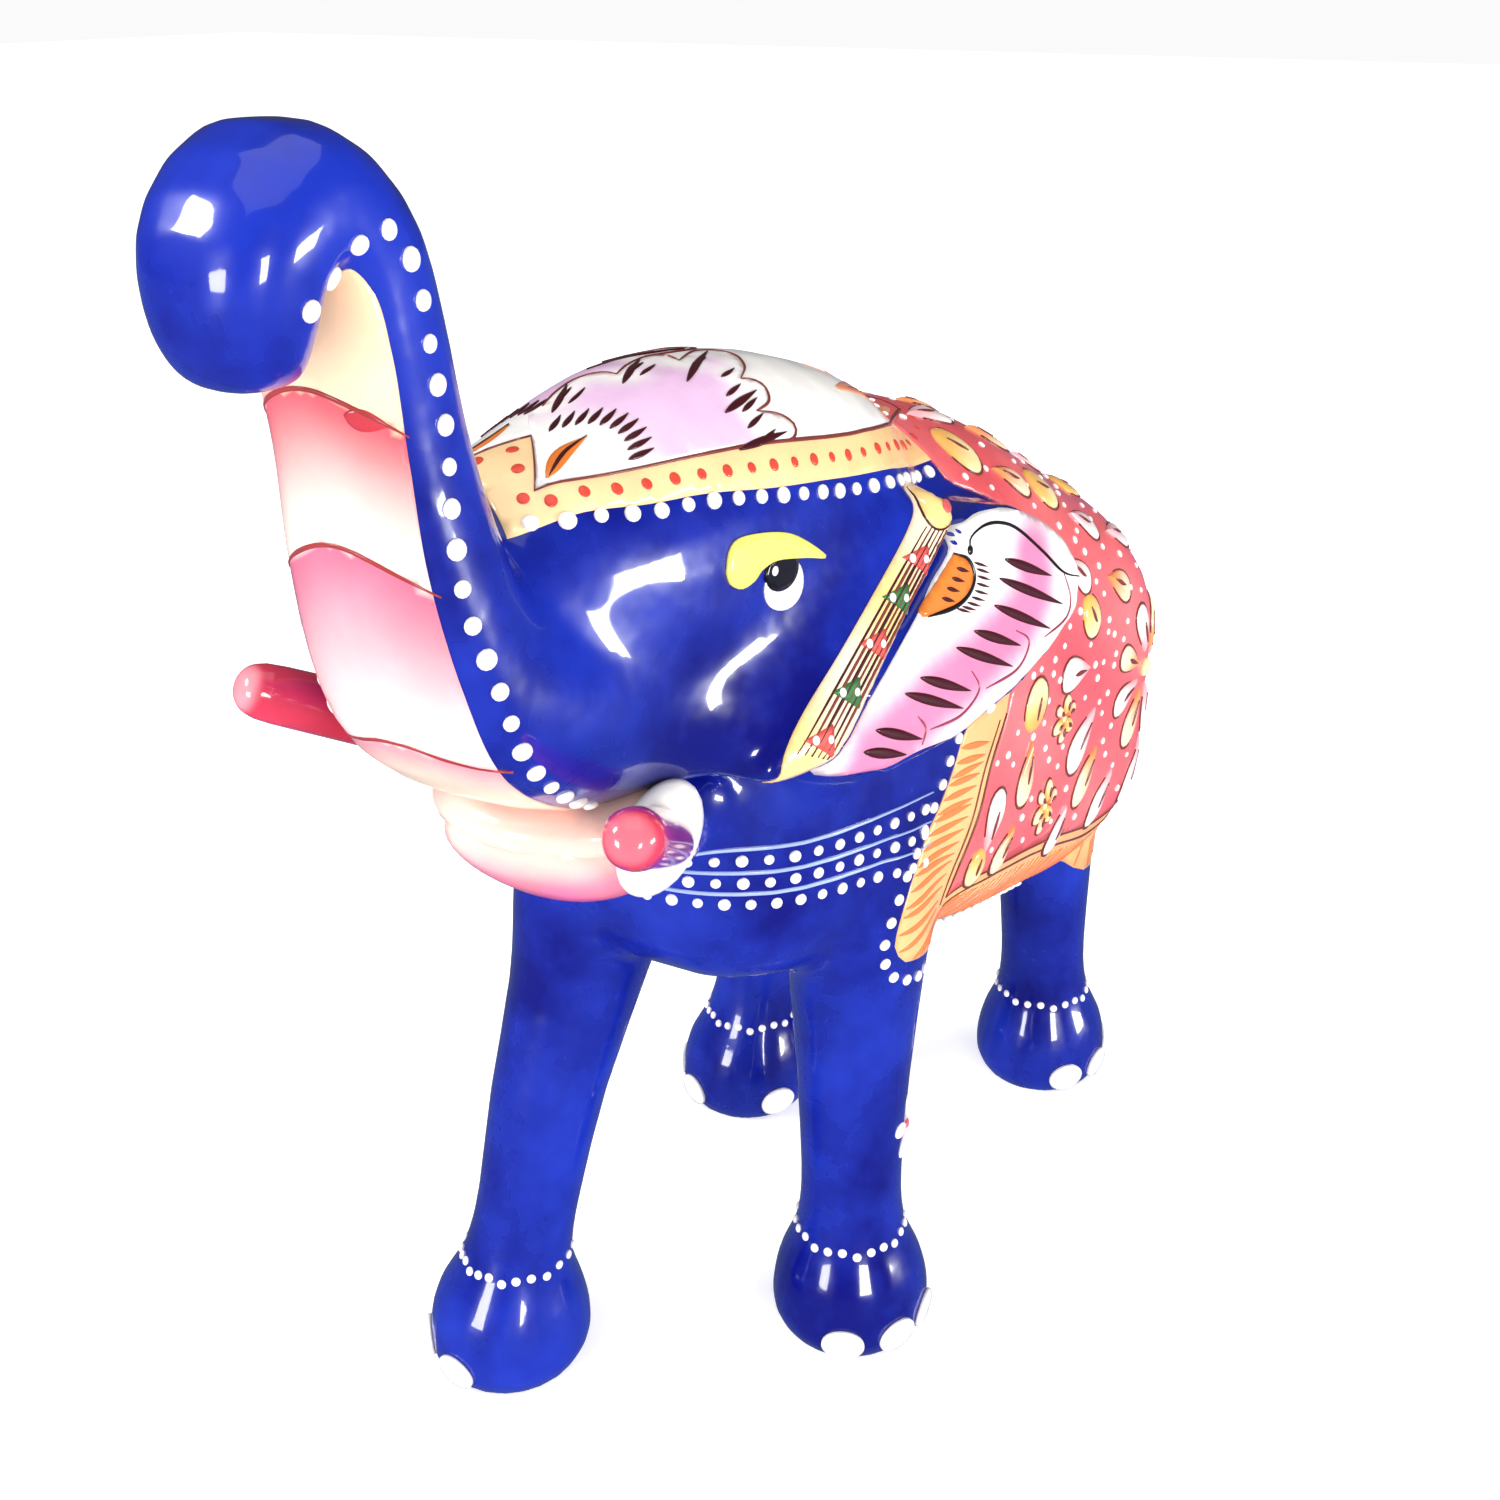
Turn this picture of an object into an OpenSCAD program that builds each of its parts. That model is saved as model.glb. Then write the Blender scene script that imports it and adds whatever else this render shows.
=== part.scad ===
// Carved wooden elephant with a raised trunk, painted and dotted with thick enamel.
// +Z is up, the elephant faces -Y and its left side is +X. Millimetres.

/* [Body] */
// Half-width of the barrel at its widest
belly_half_w = 27; // [24:0.5:30]
// Height of the back above the ground, behind the head
back_z = 110; // [104:1:114]
// Height of the belly above the ground
belly_z = 45; // [43:1:48]

/* [Head and trunk] */
// Height of the crown above the ground
crown_z = 122; // [118:1:126]
// Half-width of the head through the eyes
head_half_w = 16; // [14:0.5:18]
// Height of the top of the curled trunk
trunk_top_z = 148; // [144:1:152]
// Half-width of the trunk where it stands upright
trunk_half_w = 7.4; // [6:0.2:8.5]

/* [Legs] */
// Distance from the middle plane to the centre of each foot
foot_x = 17.5; // [16:0.5:19]
// Half-width of a foot
foot_r = 9.5; // [8.5:0.25:10.5]
// Half-width of a leg above the ankle
ankle_r = 6.2; // [5.5:0.1:7]

/* [Tusks] */
// Diameter of a tusk at its free end
tusk_d = 5.6; // [4:0.1:6]
// Length of a tusk outside the head
tusk_len = 21; // [12:0.5:24]

/* [Enamel relief] */
// Diameter of a large enamel dot
dot_d = 1.8; // [1.2:0.1:2.2]
// Diameter of a small enamel dot
small_dot_d = 1.1; // [0.8:0.1:1.4]
// Height of the embossed petals above the wood
petal_h = 0.6; // [0.4:0.1:1]

/* [Hidden] */

// The sections below are laid out from the feet; this puts the origin under the middle of the whole figure
origin_y = 12.8;
ring_n = 32;   // points round a body or head section
trunk_n = 24;  // points round a trunk section
leg_n = 24;    // points round a leg section

torso_zc = (back_z + belly_z) / 2;
torso_h = (back_z - belly_z) / 2;
// How square the underside of the torso is: 2 is an ellipse
belly_square = 4.4;

// Torso sections, chest to rump: [y, z of the centre, half-width, height above, depth below]
TORSO = [
  [-41.0, 74, 3, 5, 5],
  [-39, 73, 10, 13, 12],
  [-33, 74, 17, 24, 18.5],
  [-20, 77, 22, 31, 23.5],
  [0, torso_zc, 25.5, torso_h + 1, torso_h - 1.5],
  [20, torso_zc - 1, belly_half_w, torso_h - 1, torso_h + 3],
  [38, 75, belly_half_w + 1.5, 24, 38],
  [50, 72, 28.6, 21, 33],
  [58, 69, 21.5, 15, 23],
  [62, 68, 5, 5, 5]
];

// Head sections, neck to forehead: [y, z of the centre, half-width, height above, depth below]
HEAD = [
  [6, 96, 12, 15, 14],
  [-6, 99, 17, 18, 18],
  [-20, 101, head_half_w + 1.5, crown_z - 102, 19],
  [-35, 102, head_half_w, crown_z - 102, 19],
  [-48, 103, head_half_w - 2.5, crown_z - 105, 18],
  [-58, 105, head_half_w - 6, 13, 15],
  [-63, 106, 6, 9, 10],
  [-65, 106, 2, 3, 4]
];

// Trunk sections, mouth to tip: [y, z, travel angle from straight up, half-width, back half-depth, front half-depth]
trunk_r = trunk_half_w;
TRUNK = [
  [-44, 92, 80, 12.5, 9, 9],
  [-54, 95, 60, 13, 9, 9.5],
  [-63, 99.5, 38, 12, 8, 9],
  [-68, 106, 14, 10.2, 7.5, 7.5],
  [-71, 115, 5, 8.5, 6.6, 6.6],
  [-72.5, 124, 6, 7.4, 5.8, 6],
  [-74, 132, 12, trunk_r, 5.6, 5.6],
  [-76, 138, 40, trunk_r, 6, 4.8],
  [-80, trunk_top_z - 6.4, 90, trunk_r, 6, 4.2],
  [-84, 138.8, 140, trunk_r - 0.4, 5.4, 4],
  [-85, 134.5, 175, trunk_r - 1.4, 4.6, 4],
  [-85, 131, 178, trunk_r - 3, 3.2, 3],
  [-85, 130, 180, 1.5, 1.5, 1.5]
];

// Lower lip: [y, z, half-width, half-depth]
LIP = [
  [-38, 80, 11, 7],
  [-48, 79.5, 10.5, 6.8],
  [-54, 80.3, 9.8, 5.8],
  [-58.5, 82, 8, 4.2],
  [-61, 83, 5, 2.2]
];

function spline(a, b, c, d, t) =
  0.5 * (2 * b + (c - a) * t + (2 * a - 5 * b + 4 * c - d) * t * t + (3 * b - a - 3 * c + d) * t * t * t);
function along(keys, s) =
  let (last = len(keys) - 1, i = min(floor(s), last - 1))
  spline(keys[max(i - 1, 0)], keys[i], keys[i + 1], keys[min(i + 2, last)], s - i);
function sq(v, n) = sign(v) * pow(abs(v), 2 / n);

// A point on a section that faces along Y, turned by angle a from the left side over the top
function torso_point(s, a) =
  let (k = along(TORSO, s)) [k[2] * sq(cos(a), sin(a) > 0 ? 2.1 : belly_square), k[0], k[1] + (sin(a) > 0 ? k[3] * sq(sin(a), 2.1) : k[4] * sq(sin(a), belly_square))];
function head_point(s, a) =
  let (k = along(HEAD, s)) [k[2] * sq(cos(a), 2.3), k[0], k[1] + (sin(a) > 0 ? k[3] : k[4]) * sq(sin(a), 2.3)];
function trunk_point(s, a) =
  let (k = along(TRUNK, s), h = (sin(a) > 0 ? k[4] : k[5]) * sq(sin(a), 2.6), g = k[2])
  [k[3] * sq(cos(a), 2.6), k[0] + h * cos(g), k[1] + h * sin(g)];
function lip_point(s, a) =
  let (k = along(LIP, s)) [k[2] * cos(a), k[0], k[1] + k[3] * sin(a)];

// Closes a list of equal rings into one solid
module skin(rings) {
  n = len(rings[0]);
  m = len(rings);
  middle = function (r) [for (i = [0:2]) [for (p = r) p[i]] * [for (p = r) 1] / n];
  points = [for (r = rings) each r, middle(rings[0]), middle(rings[m - 1])];
  sides = [for (j = [0:m - 2]) for (i = [0:n - 1]) let (k = (i + 1) % n)
    each [[j * n + i, (j + 1) * n + k, j * n + k], [j * n + i, (j + 1) * n + i, (j + 1) * n + k]]];
  start = [for (i = [0:n - 1]) [m * n, i, (i + 1) % n]];
  finish = [for (i = [0:n - 1]) [m * n + 1, (m - 1) * n + (i + 1) % n, (m - 1) * n + i]];
  polyhedron(points, concat(sides, start, finish));
}

module place() translate([0, origin_y, 0]) children();

module torso() skin([for (s = [0:0.34:len(TORSO) - 1]) [for (i = [0:ring_n - 1]) torso_point(s, -i * 360 / ring_n)]]);
module head() skin([for (s = [0:0.34:len(HEAD) - 1]) [for (i = [0:ring_n - 1]) head_point(s, i * 360 / ring_n)]]);
module trunk() skin([for (s = [0:0.34:len(TRUNK) - 1]) [for (i = [0:trunk_n - 1]) trunk_point(s, i * 360 / trunk_n)]]);
module lip() skin([for (s = [0:0.34:len(LIP) - 1]) [for (i = [0:trunk_n - 1]) lip_point(s, i * 360 / trunk_n)]]);

// Leg sections, foot to hip: [forward share, outward share, z, half-width, half-depth]; the foot keeps a flat sole
LEG = [
  [0, 0, 0, 0.88 * foot_r, 0.9 * foot_r],
  [0, 0, 2.4, 1.01 * foot_r, 1.05 * foot_r],
  [0, 0, 5.6, 1.02 * foot_r, 1.05 * foot_r],
  [0.01, 0.02, 9.6, 0.93 * foot_r, 0.94 * foot_r],
  [0.04, 0.1, 13.2, 0.76 * foot_r, 0.77 * foot_r],
  [0.1, 0.2, 17, ankle_r + 0.2, ankle_r + 0.2],
  [0.2, 0.32, 23, ankle_r, ankle_r + 0.1],
  [0.4, 0.55, 36, 6.8, 7.2],
  [0.75, 0.8, 50, 7.8, 9.4],
  [0.95, 0.95, 60, 8.5, 13],
  [1, 1, 72, 8, 12]
];
function leg_point(leg, s, a) =
  let (k = along(LEG, s), foot = leg[0], hip = leg[1])
  [foot[0] + (hip[0] - foot[0]) * k[1] + k[3] * cos(a), foot[1] + (hip[1] - foot[1]) * k[0] + k[4] * sin(a), k[2]];
module leg(leg) skin([for (s = [0:0.5:len(LEG) - 1]) [for (i = [0:leg_n - 1]) leg_point(leg, s, i * 360 / leg_n)]]);

// Feet, in a walking stance: [foot centre], [hip centre]
FRONT_RIGHT = [[0.4 - foot_x, -43.2], [-11.5, -27]];
FRONT_LEFT = [[foot_x - 0.5, -17.5], [15, -14]];
REAR_RIGHT = [[-foot_x, 18], [-14, 30]];
REAR_LEFT = [[foot_x + 1.5, 46], [17, 42]];

// Ear: a broad flap and a rolled band along its front edge, both carved proud of the neck, as [y, z] outlines
FLAP = [[-8, 100], [-4.5, 102.4], [0, 102.8], [6, 101.2], [11, 98.6], [15.2, 95.2], [17.5, 91], [15.2, 87], [8, 84],
  [-1, 81.8], [-14, 80.6], [-26, 81.2], [-34, 82.6], [-35.6, 84.6], [-33, 87.2], [-24.5, 92], [-16, 96.4], [-11, 98.8]];
BAND = [[-10, 106.2], [-13, 106.3], [-15.5, 104.6], [-19, 102.4], [-30, 96.2], [-40, 91], [-44.8, 88.3], [-45.2, 86],
  [-37.4, 84.6], [-29.3, 89.6], [-23.9, 93.3], [-19.3, 96.2], [-15.6, 98.6], [-10.3, 101.6], [-7.8, 103], [-7.6, 104.8]];
// The ear leans out towards its rear edge and in towards its top
function ear_x(p) = 21 + 0.16 * (p[0] + 8) - 0.25 * (p[1] - 105);
// The outline as a slab from inside the neck to its outer face, with a softened edge
module ear_slab(outline, lift, inset) {
  middle = [for (i = [0:1]) [for (p = outline) p[i]] * [for (p = outline) 1] / len(outline)];
  face = [for (p = outline) middle + (p - middle) * inset];
  edge = concat([for (p = outline) [10, p[0], p[1]]], [for (p = outline) [ear_x(p) + lift - 1, p[0], p[1]]]);
  hull() polyhedron(concat(edge, [for (p = face) [ear_x(p) + lift, p[0], p[1]]]),
    [for (i = [0:3:3 * len(outline) - 3]) [i, i + 1, i + 2]]);
}
module ear() {
  ear_slab(FLAP, 0, 0.95);
  ear_slab(BAND, 0.6, 0.93);
}

// Tail, carved in relief down the rump: [y, z, radius]
TAIL = [[51, 90, 2.4], [57, 83, 2.4], [61, 75, 2.2], [62, 66, 2], [61, 57, 2], [58, 50, 2.6], [54.5, 44, 2.4], [53.5, 41, 1.2]];
module tail() for (i = [0:len(TAIL) - 2])
  hull() for (k = [TAIL[i], TAIL[i + 1]]) translate([0, k[0], k[1]]) sphere(k[2], $fn = 14);

module carved_body() color("#1430a8") place() union() {
  torso();
  head();
  trunk();
  lip();
  for (leg = [FRONT_RIGHT, FRONT_LEFT, REAR_RIGHT, REAR_LEFT]) leg(leg);
  ear();
  mirror([1, 0, 0]) ear();
  tail();
}
// Tusk: a peg let into the cheek, pointing forward, outward by its splay and up from upright by its lean
tusk_root = 4;
module tusk(foot, splay, lean)
  place() translate(foot) rotate([0, 0, splay]) rotate([lean, 0, 0]) translate([0, 0, -tusk_root])
    cylinder(d = tusk_d, h = tusk_len + tusk_root, $fn = 32);
module tusk_left() color("#c0303c") tusk([12.3, -52.2, 83], 24.2, 62.2);
module tusk_right() color("#8c1420") tusk([-13.5, -52, 88], -26, 63);

// Surface spots: [point, outward direction] on each part, by the same position values as its sections
step = 0.02;
function spot(p, du, dv, out) = let (n = cross(du - p, dv - p) * out) [p, n / norm(n)];
function torso_spot(s, a) = spot(torso_point(s, a), torso_point(s + step, a), torso_point(s, a + 1), 1);
function head_spot(s, a) = spot(head_point(s, a), head_point(s + step, a), head_point(s, a + 1), -1);
function trunk_spot(s, a) = spot(trunk_point(s, a), trunk_point(s + step, a), trunk_point(s, a + 1), -1);
function leg_spot(leg, s, a) = spot(leg_point(leg, s, a), leg_point(leg, s + step, a), leg_point(leg, s, a + 1), -1);

// Stands its children on a spot, on either side of the figure, turned by spin
module on(spot, side = 1, spin = 0)
  translate([side * spot[0][0], spot[0][1], spot[0][2]])
    rotate([0, acos(spot[1][2]), atan2(spot[1][1], side * spot[1][0])]) rotate([0, 0, spin]) children();

// A drop of enamel with a flat base
module dot(d, n = 6) hull() cylinder(d1 = d, d2 = 0.55 * d, h = 0.38 * d, $fn = n);
// A row of drops between two position values on a part
module dot_row(spots, d, side = 1) for (s = spots) on(s, side) dot(d);
// A pointed petal, tip towards +X
module petal(len) linear_extrude(petal_h)
  polygon([for (a = [0:30:330]) [len * (0.5 * cos(a) + (a == 0 ? 0.12 : 0)), len * 0.3 * sin(a) * (1 - 0.35 * cos(a))]]);

// Enamel eye: an oval on the side of the head
module eye(side) place() on(head_spot(3.05, 12), side) scale([1, 1.6, 0.5]) dot(5, 16);
module eye_left() color("#101010") eye(1);
module eye_right() color("#101010") eye(-1);

// Rows of dots that edge the painted fields
trunk_dot_count = 24;
module trunk_dots(side) place()
  dot_row([for (i = [0:trunk_dot_count - 1]) trunk_spot(1.2 + i * 6.2 / (trunk_dot_count - 1), -28)], dot_d, side);
module trunk_dots_left() color("white") trunk_dots(1);
module trunk_dots_right() color("white") trunk_dots(-1);

head_dot_count = 22;
module head_cloth_dots(side) place()
  dot_row([for (i = [0:head_dot_count - 1]) head_spot(1.2 + i * 3.9 / (head_dot_count - 1), 46 - 0.3 * i)], dot_d, side);
module head_cloth_dots_left() color("white") head_cloth_dots(1);
module head_cloth_dots_right() color("white") head_cloth_dots(-1);

// Three rows of dots slung under the throat from flank to flank
chest_dot_count = 14;
module chest_dots() color("white") place() for (row = [0:2], side = [1, -1])
  dot_row([for (i = [0:chest_dot_count - 1]) let (t = i / (chest_dot_count - 1))
    torso_spot(0.8 + 3 * t, -4 - 5 * row - 14 * pow(1 - t, 3))], small_dot_d, side);

anklet_count = 22;
module anklet(leg) color("white") place()
  dot_row([for (i = [0:anklet_count - 1]) leg_spot(leg, 3.9, i * 360 / anklet_count)], small_dot_d);
module anklet_front_left() anklet(FRONT_LEFT);
module anklet_front_right() anklet(FRONT_RIGHT);
module anklet_rear_left() anklet(REAR_LEFT);
module anklet_rear_right() anklet(REAR_RIGHT);

toe_angle = 34;
module toenails(leg) color("white") place()
  for (i = [-1:1]) on(leg_spot(leg, 1.2, -90 + i * toe_angle)) scale([1, 1.2, 0.7]) dot(3.8, 10);
module toenails_front_left() toenails(FRONT_LEFT);
module toenails_front_right() toenails(FRONT_RIGHT);
module toenails_rear_left() toenails(REAR_LEFT);
module toenails_rear_right() toenails(REAR_RIGHT);

// Saddle cloth: dots down its front edge and along its lower hem
module saddle_cloth_dots(side) place() {
  dot_row([for (i = [0:12]) torso_spot(4.05 - 0.08 * i, -4 - 4 * i)], small_dot_d, side);
  dot_row([for (i = [0:20]) torso_spot(3.2 + 0.17 * i, -52 + 0.5 * i)], small_dot_d, side);
}
module saddle_cloth_dots_left() color("white") saddle_cloth_dots(1);
module saddle_cloth_dots_right() color("white") saddle_cloth_dots(-1);

// Embossed petals scattered over the cloth in staggered rows, and one rosette on each haunch
module saddle_petals(side) place() for (row = [0:5], col = [0:5 - row % 2])
  on(torso_spot(4.3 + 0.55 * col + 0.27 * (row % 2), -24 + 19 * row), side, spin = 40 + 50 * (row + col)) petal(6);
module saddle_petals_left() color("#f6c890") saddle_petals(1);
module saddle_petals_right() color("#f6c890") saddle_petals(-1);

module saddle_rosette(side) place() for (i = [0:7])
  on(torso_spot(6.8, 2), side) rotate([0, 0, i * 45]) translate([3.6, 0, 0]) petal(5);
module saddle_rosette_left() color("#f6e0b0") saddle_rosette(1);
module saddle_rosette_right() color("#f6e0b0") saddle_rosette(-1);

carved_body();
tusk_left();
tusk_right();
eye_left();
eye_right();
trunk_dots_left();
trunk_dots_right();
head_cloth_dots_left();
head_cloth_dots_right();
chest_dots();
anklet_front_left();
anklet_front_right();
anklet_rear_left();
anklet_rear_right();
toenails_front_left();
toenails_front_right();
toenails_rear_left();
toenails_rear_right();
saddle_cloth_dots_left();
saddle_cloth_dots_right();
saddle_petals_left();
saddle_petals_right();
saddle_rosette_left();
saddle_rosette_right();
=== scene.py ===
"""The carved and painted elephant: a lacquered wooden block with pegged tusks and raised enamel work."""
import math

import bmesh
import bpy
import numpy as np
from mathutils import Matrix, Vector, geometry
from mathutils.bvhtree import BVHTree


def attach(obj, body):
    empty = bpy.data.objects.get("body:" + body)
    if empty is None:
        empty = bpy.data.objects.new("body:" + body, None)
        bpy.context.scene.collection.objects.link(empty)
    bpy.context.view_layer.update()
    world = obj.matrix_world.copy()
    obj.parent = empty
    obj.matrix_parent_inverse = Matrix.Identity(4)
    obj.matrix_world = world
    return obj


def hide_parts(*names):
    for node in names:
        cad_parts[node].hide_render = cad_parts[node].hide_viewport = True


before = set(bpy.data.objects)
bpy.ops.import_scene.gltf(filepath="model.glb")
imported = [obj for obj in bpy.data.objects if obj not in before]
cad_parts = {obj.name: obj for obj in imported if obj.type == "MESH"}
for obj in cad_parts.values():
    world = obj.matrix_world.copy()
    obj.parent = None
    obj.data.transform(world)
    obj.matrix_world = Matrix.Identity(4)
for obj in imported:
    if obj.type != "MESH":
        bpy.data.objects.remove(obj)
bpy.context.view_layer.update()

MM = 0.001
# The design is laid out from the feet; this carries it into the frame, as in the CAD
STANCE = Vector((0, 12.8, 0))


# ---------------------------------------------------------------- camera, floor and light

LENS = 40.8
CAMERA_PLACE = Vector((87, -170, 157))
CAMERA_AZIMUTH = math.radians(29)
CAMERA_RISE = math.radians(25)


def make_camera():
    """A camera above the elephant's left front foot, level, at close range."""
    data = bpy.data.cameras.new("view")
    data.lens = LENS
    data.clip_start = 0.01
    camera = bpy.data.objects.new("view", data)
    bpy.context.scene.collection.objects.link(camera)
    back = Vector((
        math.sin(CAMERA_AZIMUTH) * math.cos(CAMERA_RISE),
        -math.cos(CAMERA_AZIMUTH) * math.cos(CAMERA_RISE),
        math.sin(CAMERA_RISE),
    ))
    right = Vector((0, 0, 1)).cross(back).normalized()
    turn = Matrix((right, back.cross(right), back)).transposed().to_4x4()
    camera.matrix_world = Matrix.Translation((CAMERA_PLACE + STANCE) * MM) @ turn
    bpy.context.scene.camera = camera


def make_floor():
    """A plain, nearly white table top."""
    mesh = bpy.data.meshes.new("floor")
    half = 3.0
    corners = [(-half, -half, 0), (half, -half, 0), (half, half, 0), (-half, half, 0)]
    mesh.from_pydata(corners, [], [(0, 1, 2, 3)])
    floor = bpy.data.objects.new("floor", mesh)
    bpy.context.scene.collection.objects.link(floor)
    mesh.materials.append(floor_material())


def area_light(name, place, target, size, power, colour=(1, 1, 1)):
    """A rectangular soft light, in metres, aimed at a point."""
    data = bpy.data.lights.new(name, "AREA")
    data.shape = "RECTANGLE"
    data.size, data.size_y = size
    data.energy = power
    data.color = colour
    light = bpy.data.objects.new(name, data)
    light.location = place
    light.rotation_euler = (Vector(target) - Vector(place)).to_track_quat("-Z", "Y").to_euler()
    bpy.context.scene.collection.objects.link(light)


WINDOW_AZIMUTH = 108
WINDOW_RISE = -3


def from_side(azimuth, rise, distance):
    """A place around the head: azimuth 0 is straight ahead of the elephant, 90 is its left."""
    turn, lift = math.radians(azimuth), math.radians(rise)
    return Vector((
        math.sin(turn) * math.cos(lift) * distance,
        -math.cos(turn) * math.cos(lift) * distance - 0.03,
        math.sin(lift) * distance + 0.1,
    ))


def make_lights():
    """Bright windows round the figure and a wide ceiling, in a white room that shines dimly in the gloss."""
    head = (0, -0.03, 0.1)
    area_light("window_left", from_side(WINDOW_AZIMUTH, WINDOW_RISE, 0.6), head, (0.2, 0.075), 1.9)
    area_light("window_right", from_side(-48, 34, 0.8), head, (0.26, 0.2), 4)
    area_light("window_front", from_side(52, 5, 0.9), (0, 0, 0.02), (0.2, 0.2), 3.4)
    area_light("window_ahead", from_side(-14, 6, 0.9), (0, 0, 0.02), (0.24, 0.24), 3)
    area_light("ceiling", (0.1, -0.1, 1.1), (0, 0, 0), (1.2, 1.2), 3.6)
    world = bpy.data.worlds.new("white_room")
    bpy.context.scene.world = world
    world.use_nodes = True
    tree = world.node_tree
    tree.nodes.clear()
    output = tree.nodes.new("ShaderNodeOutputWorld")
    path = tree.nodes.new("ShaderNodeLightPath")
    seen = world_background(tree, 1.2)
    gloss = world_background(tree, 0.07)
    lit = world_background(tree, 0.9)
    glossy = tree.nodes.new("ShaderNodeMixShader")
    tree.links.new(path.outputs["Is Glossy Ray"], glossy.inputs["Fac"])
    tree.links.new(lit.outputs["Background"], glossy.inputs[1])
    tree.links.new(gloss.outputs["Background"], glossy.inputs[2])
    mix = tree.nodes.new("ShaderNodeMixShader")
    tree.links.new(path.outputs["Is Camera Ray"], mix.inputs["Fac"])
    tree.links.new(glossy.outputs["Shader"], mix.inputs[1])
    tree.links.new(seen.outputs["Background"], mix.inputs[2])
    tree.links.new(mix.outputs["Shader"], output.inputs["Surface"])
    bpy.context.scene.view_settings.view_transform = "Standard"
    bpy.context.scene.view_settings.exposure = 0.0


def world_background(tree, strength):
    """One plain white background for the room, at its own strength."""
    node = tree.nodes.new("ShaderNodeBackground")
    node.inputs["Strength"].default_value = strength
    return node


# ---------------------------------------------------------------- shader helpers


def new_material(name):
    """A node material with its Principled shader."""
    material = bpy.data.materials.new(name)
    material.use_nodes = True
    return material, material.node_tree, material.node_tree.nodes["Principled BSDF"]


def floor_material():
    """Matt white, bright to the eye and dim in the lacquer's reflections."""
    material, tree, shader = new_material("white_table")
    shader.inputs["Base Color"].default_value = (0.84, 0.84, 0.85, 1)
    shader.inputs["Roughness"].default_value = 1.0
    shader.inputs["Specular IOR Level"].default_value = 0.0
    shader.inputs["Emission Color"].default_value = (1, 1, 1, 1)
    shader.inputs["Emission Strength"].default_value = 0.56
    dim = tree.nodes.new("ShaderNodeEmission")
    dim.inputs["Color"].default_value = (0.1, 0.13, 0.24, 1)
    path = tree.nodes.new("ShaderNodeLightPath")
    either = tree.nodes.new("ShaderNodeMixShader")
    tree.links.new(path.outputs["Is Glossy Ray"], either.inputs["Fac"])
    tree.links.new(shader.outputs["BSDF"], either.inputs[1])
    tree.links.new(dim.outputs["Emission"], either.inputs[2])
    tree.links.new(either.outputs["Shader"], tree.nodes["Material Output"].inputs["Surface"])
    return material


def group_node(tree, group, **values):
    """Places a shared effect in a material with its own values."""
    node = tree.nodes.new("ShaderNodeGroup")
    node.node_tree = group
    for name, value in values.items():
        node.inputs[name].default_value = value
    return node


def new_group(name, inputs, outputs):
    """An empty shader group with named sockets: (name, type, default) in, (name, type) out."""
    group = bpy.data.node_groups.new(name, "ShaderNodeTree")
    for label, kind, value in inputs:
        socket = group.interface.new_socket(label, in_out="INPUT", socket_type=kind)
        socket.default_value = value
    for label, kind in outputs:
        group.interface.new_socket(label, in_out="OUTPUT", socket_type=kind)
    return group, group.nodes.new("NodeGroupInput"), group.nodes.new("NodeGroupOutput")


COLOUR, FLOAT, VECTOR = "NodeSocketColor", "NodeSocketFloat", "NodeSocketVector"


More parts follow.
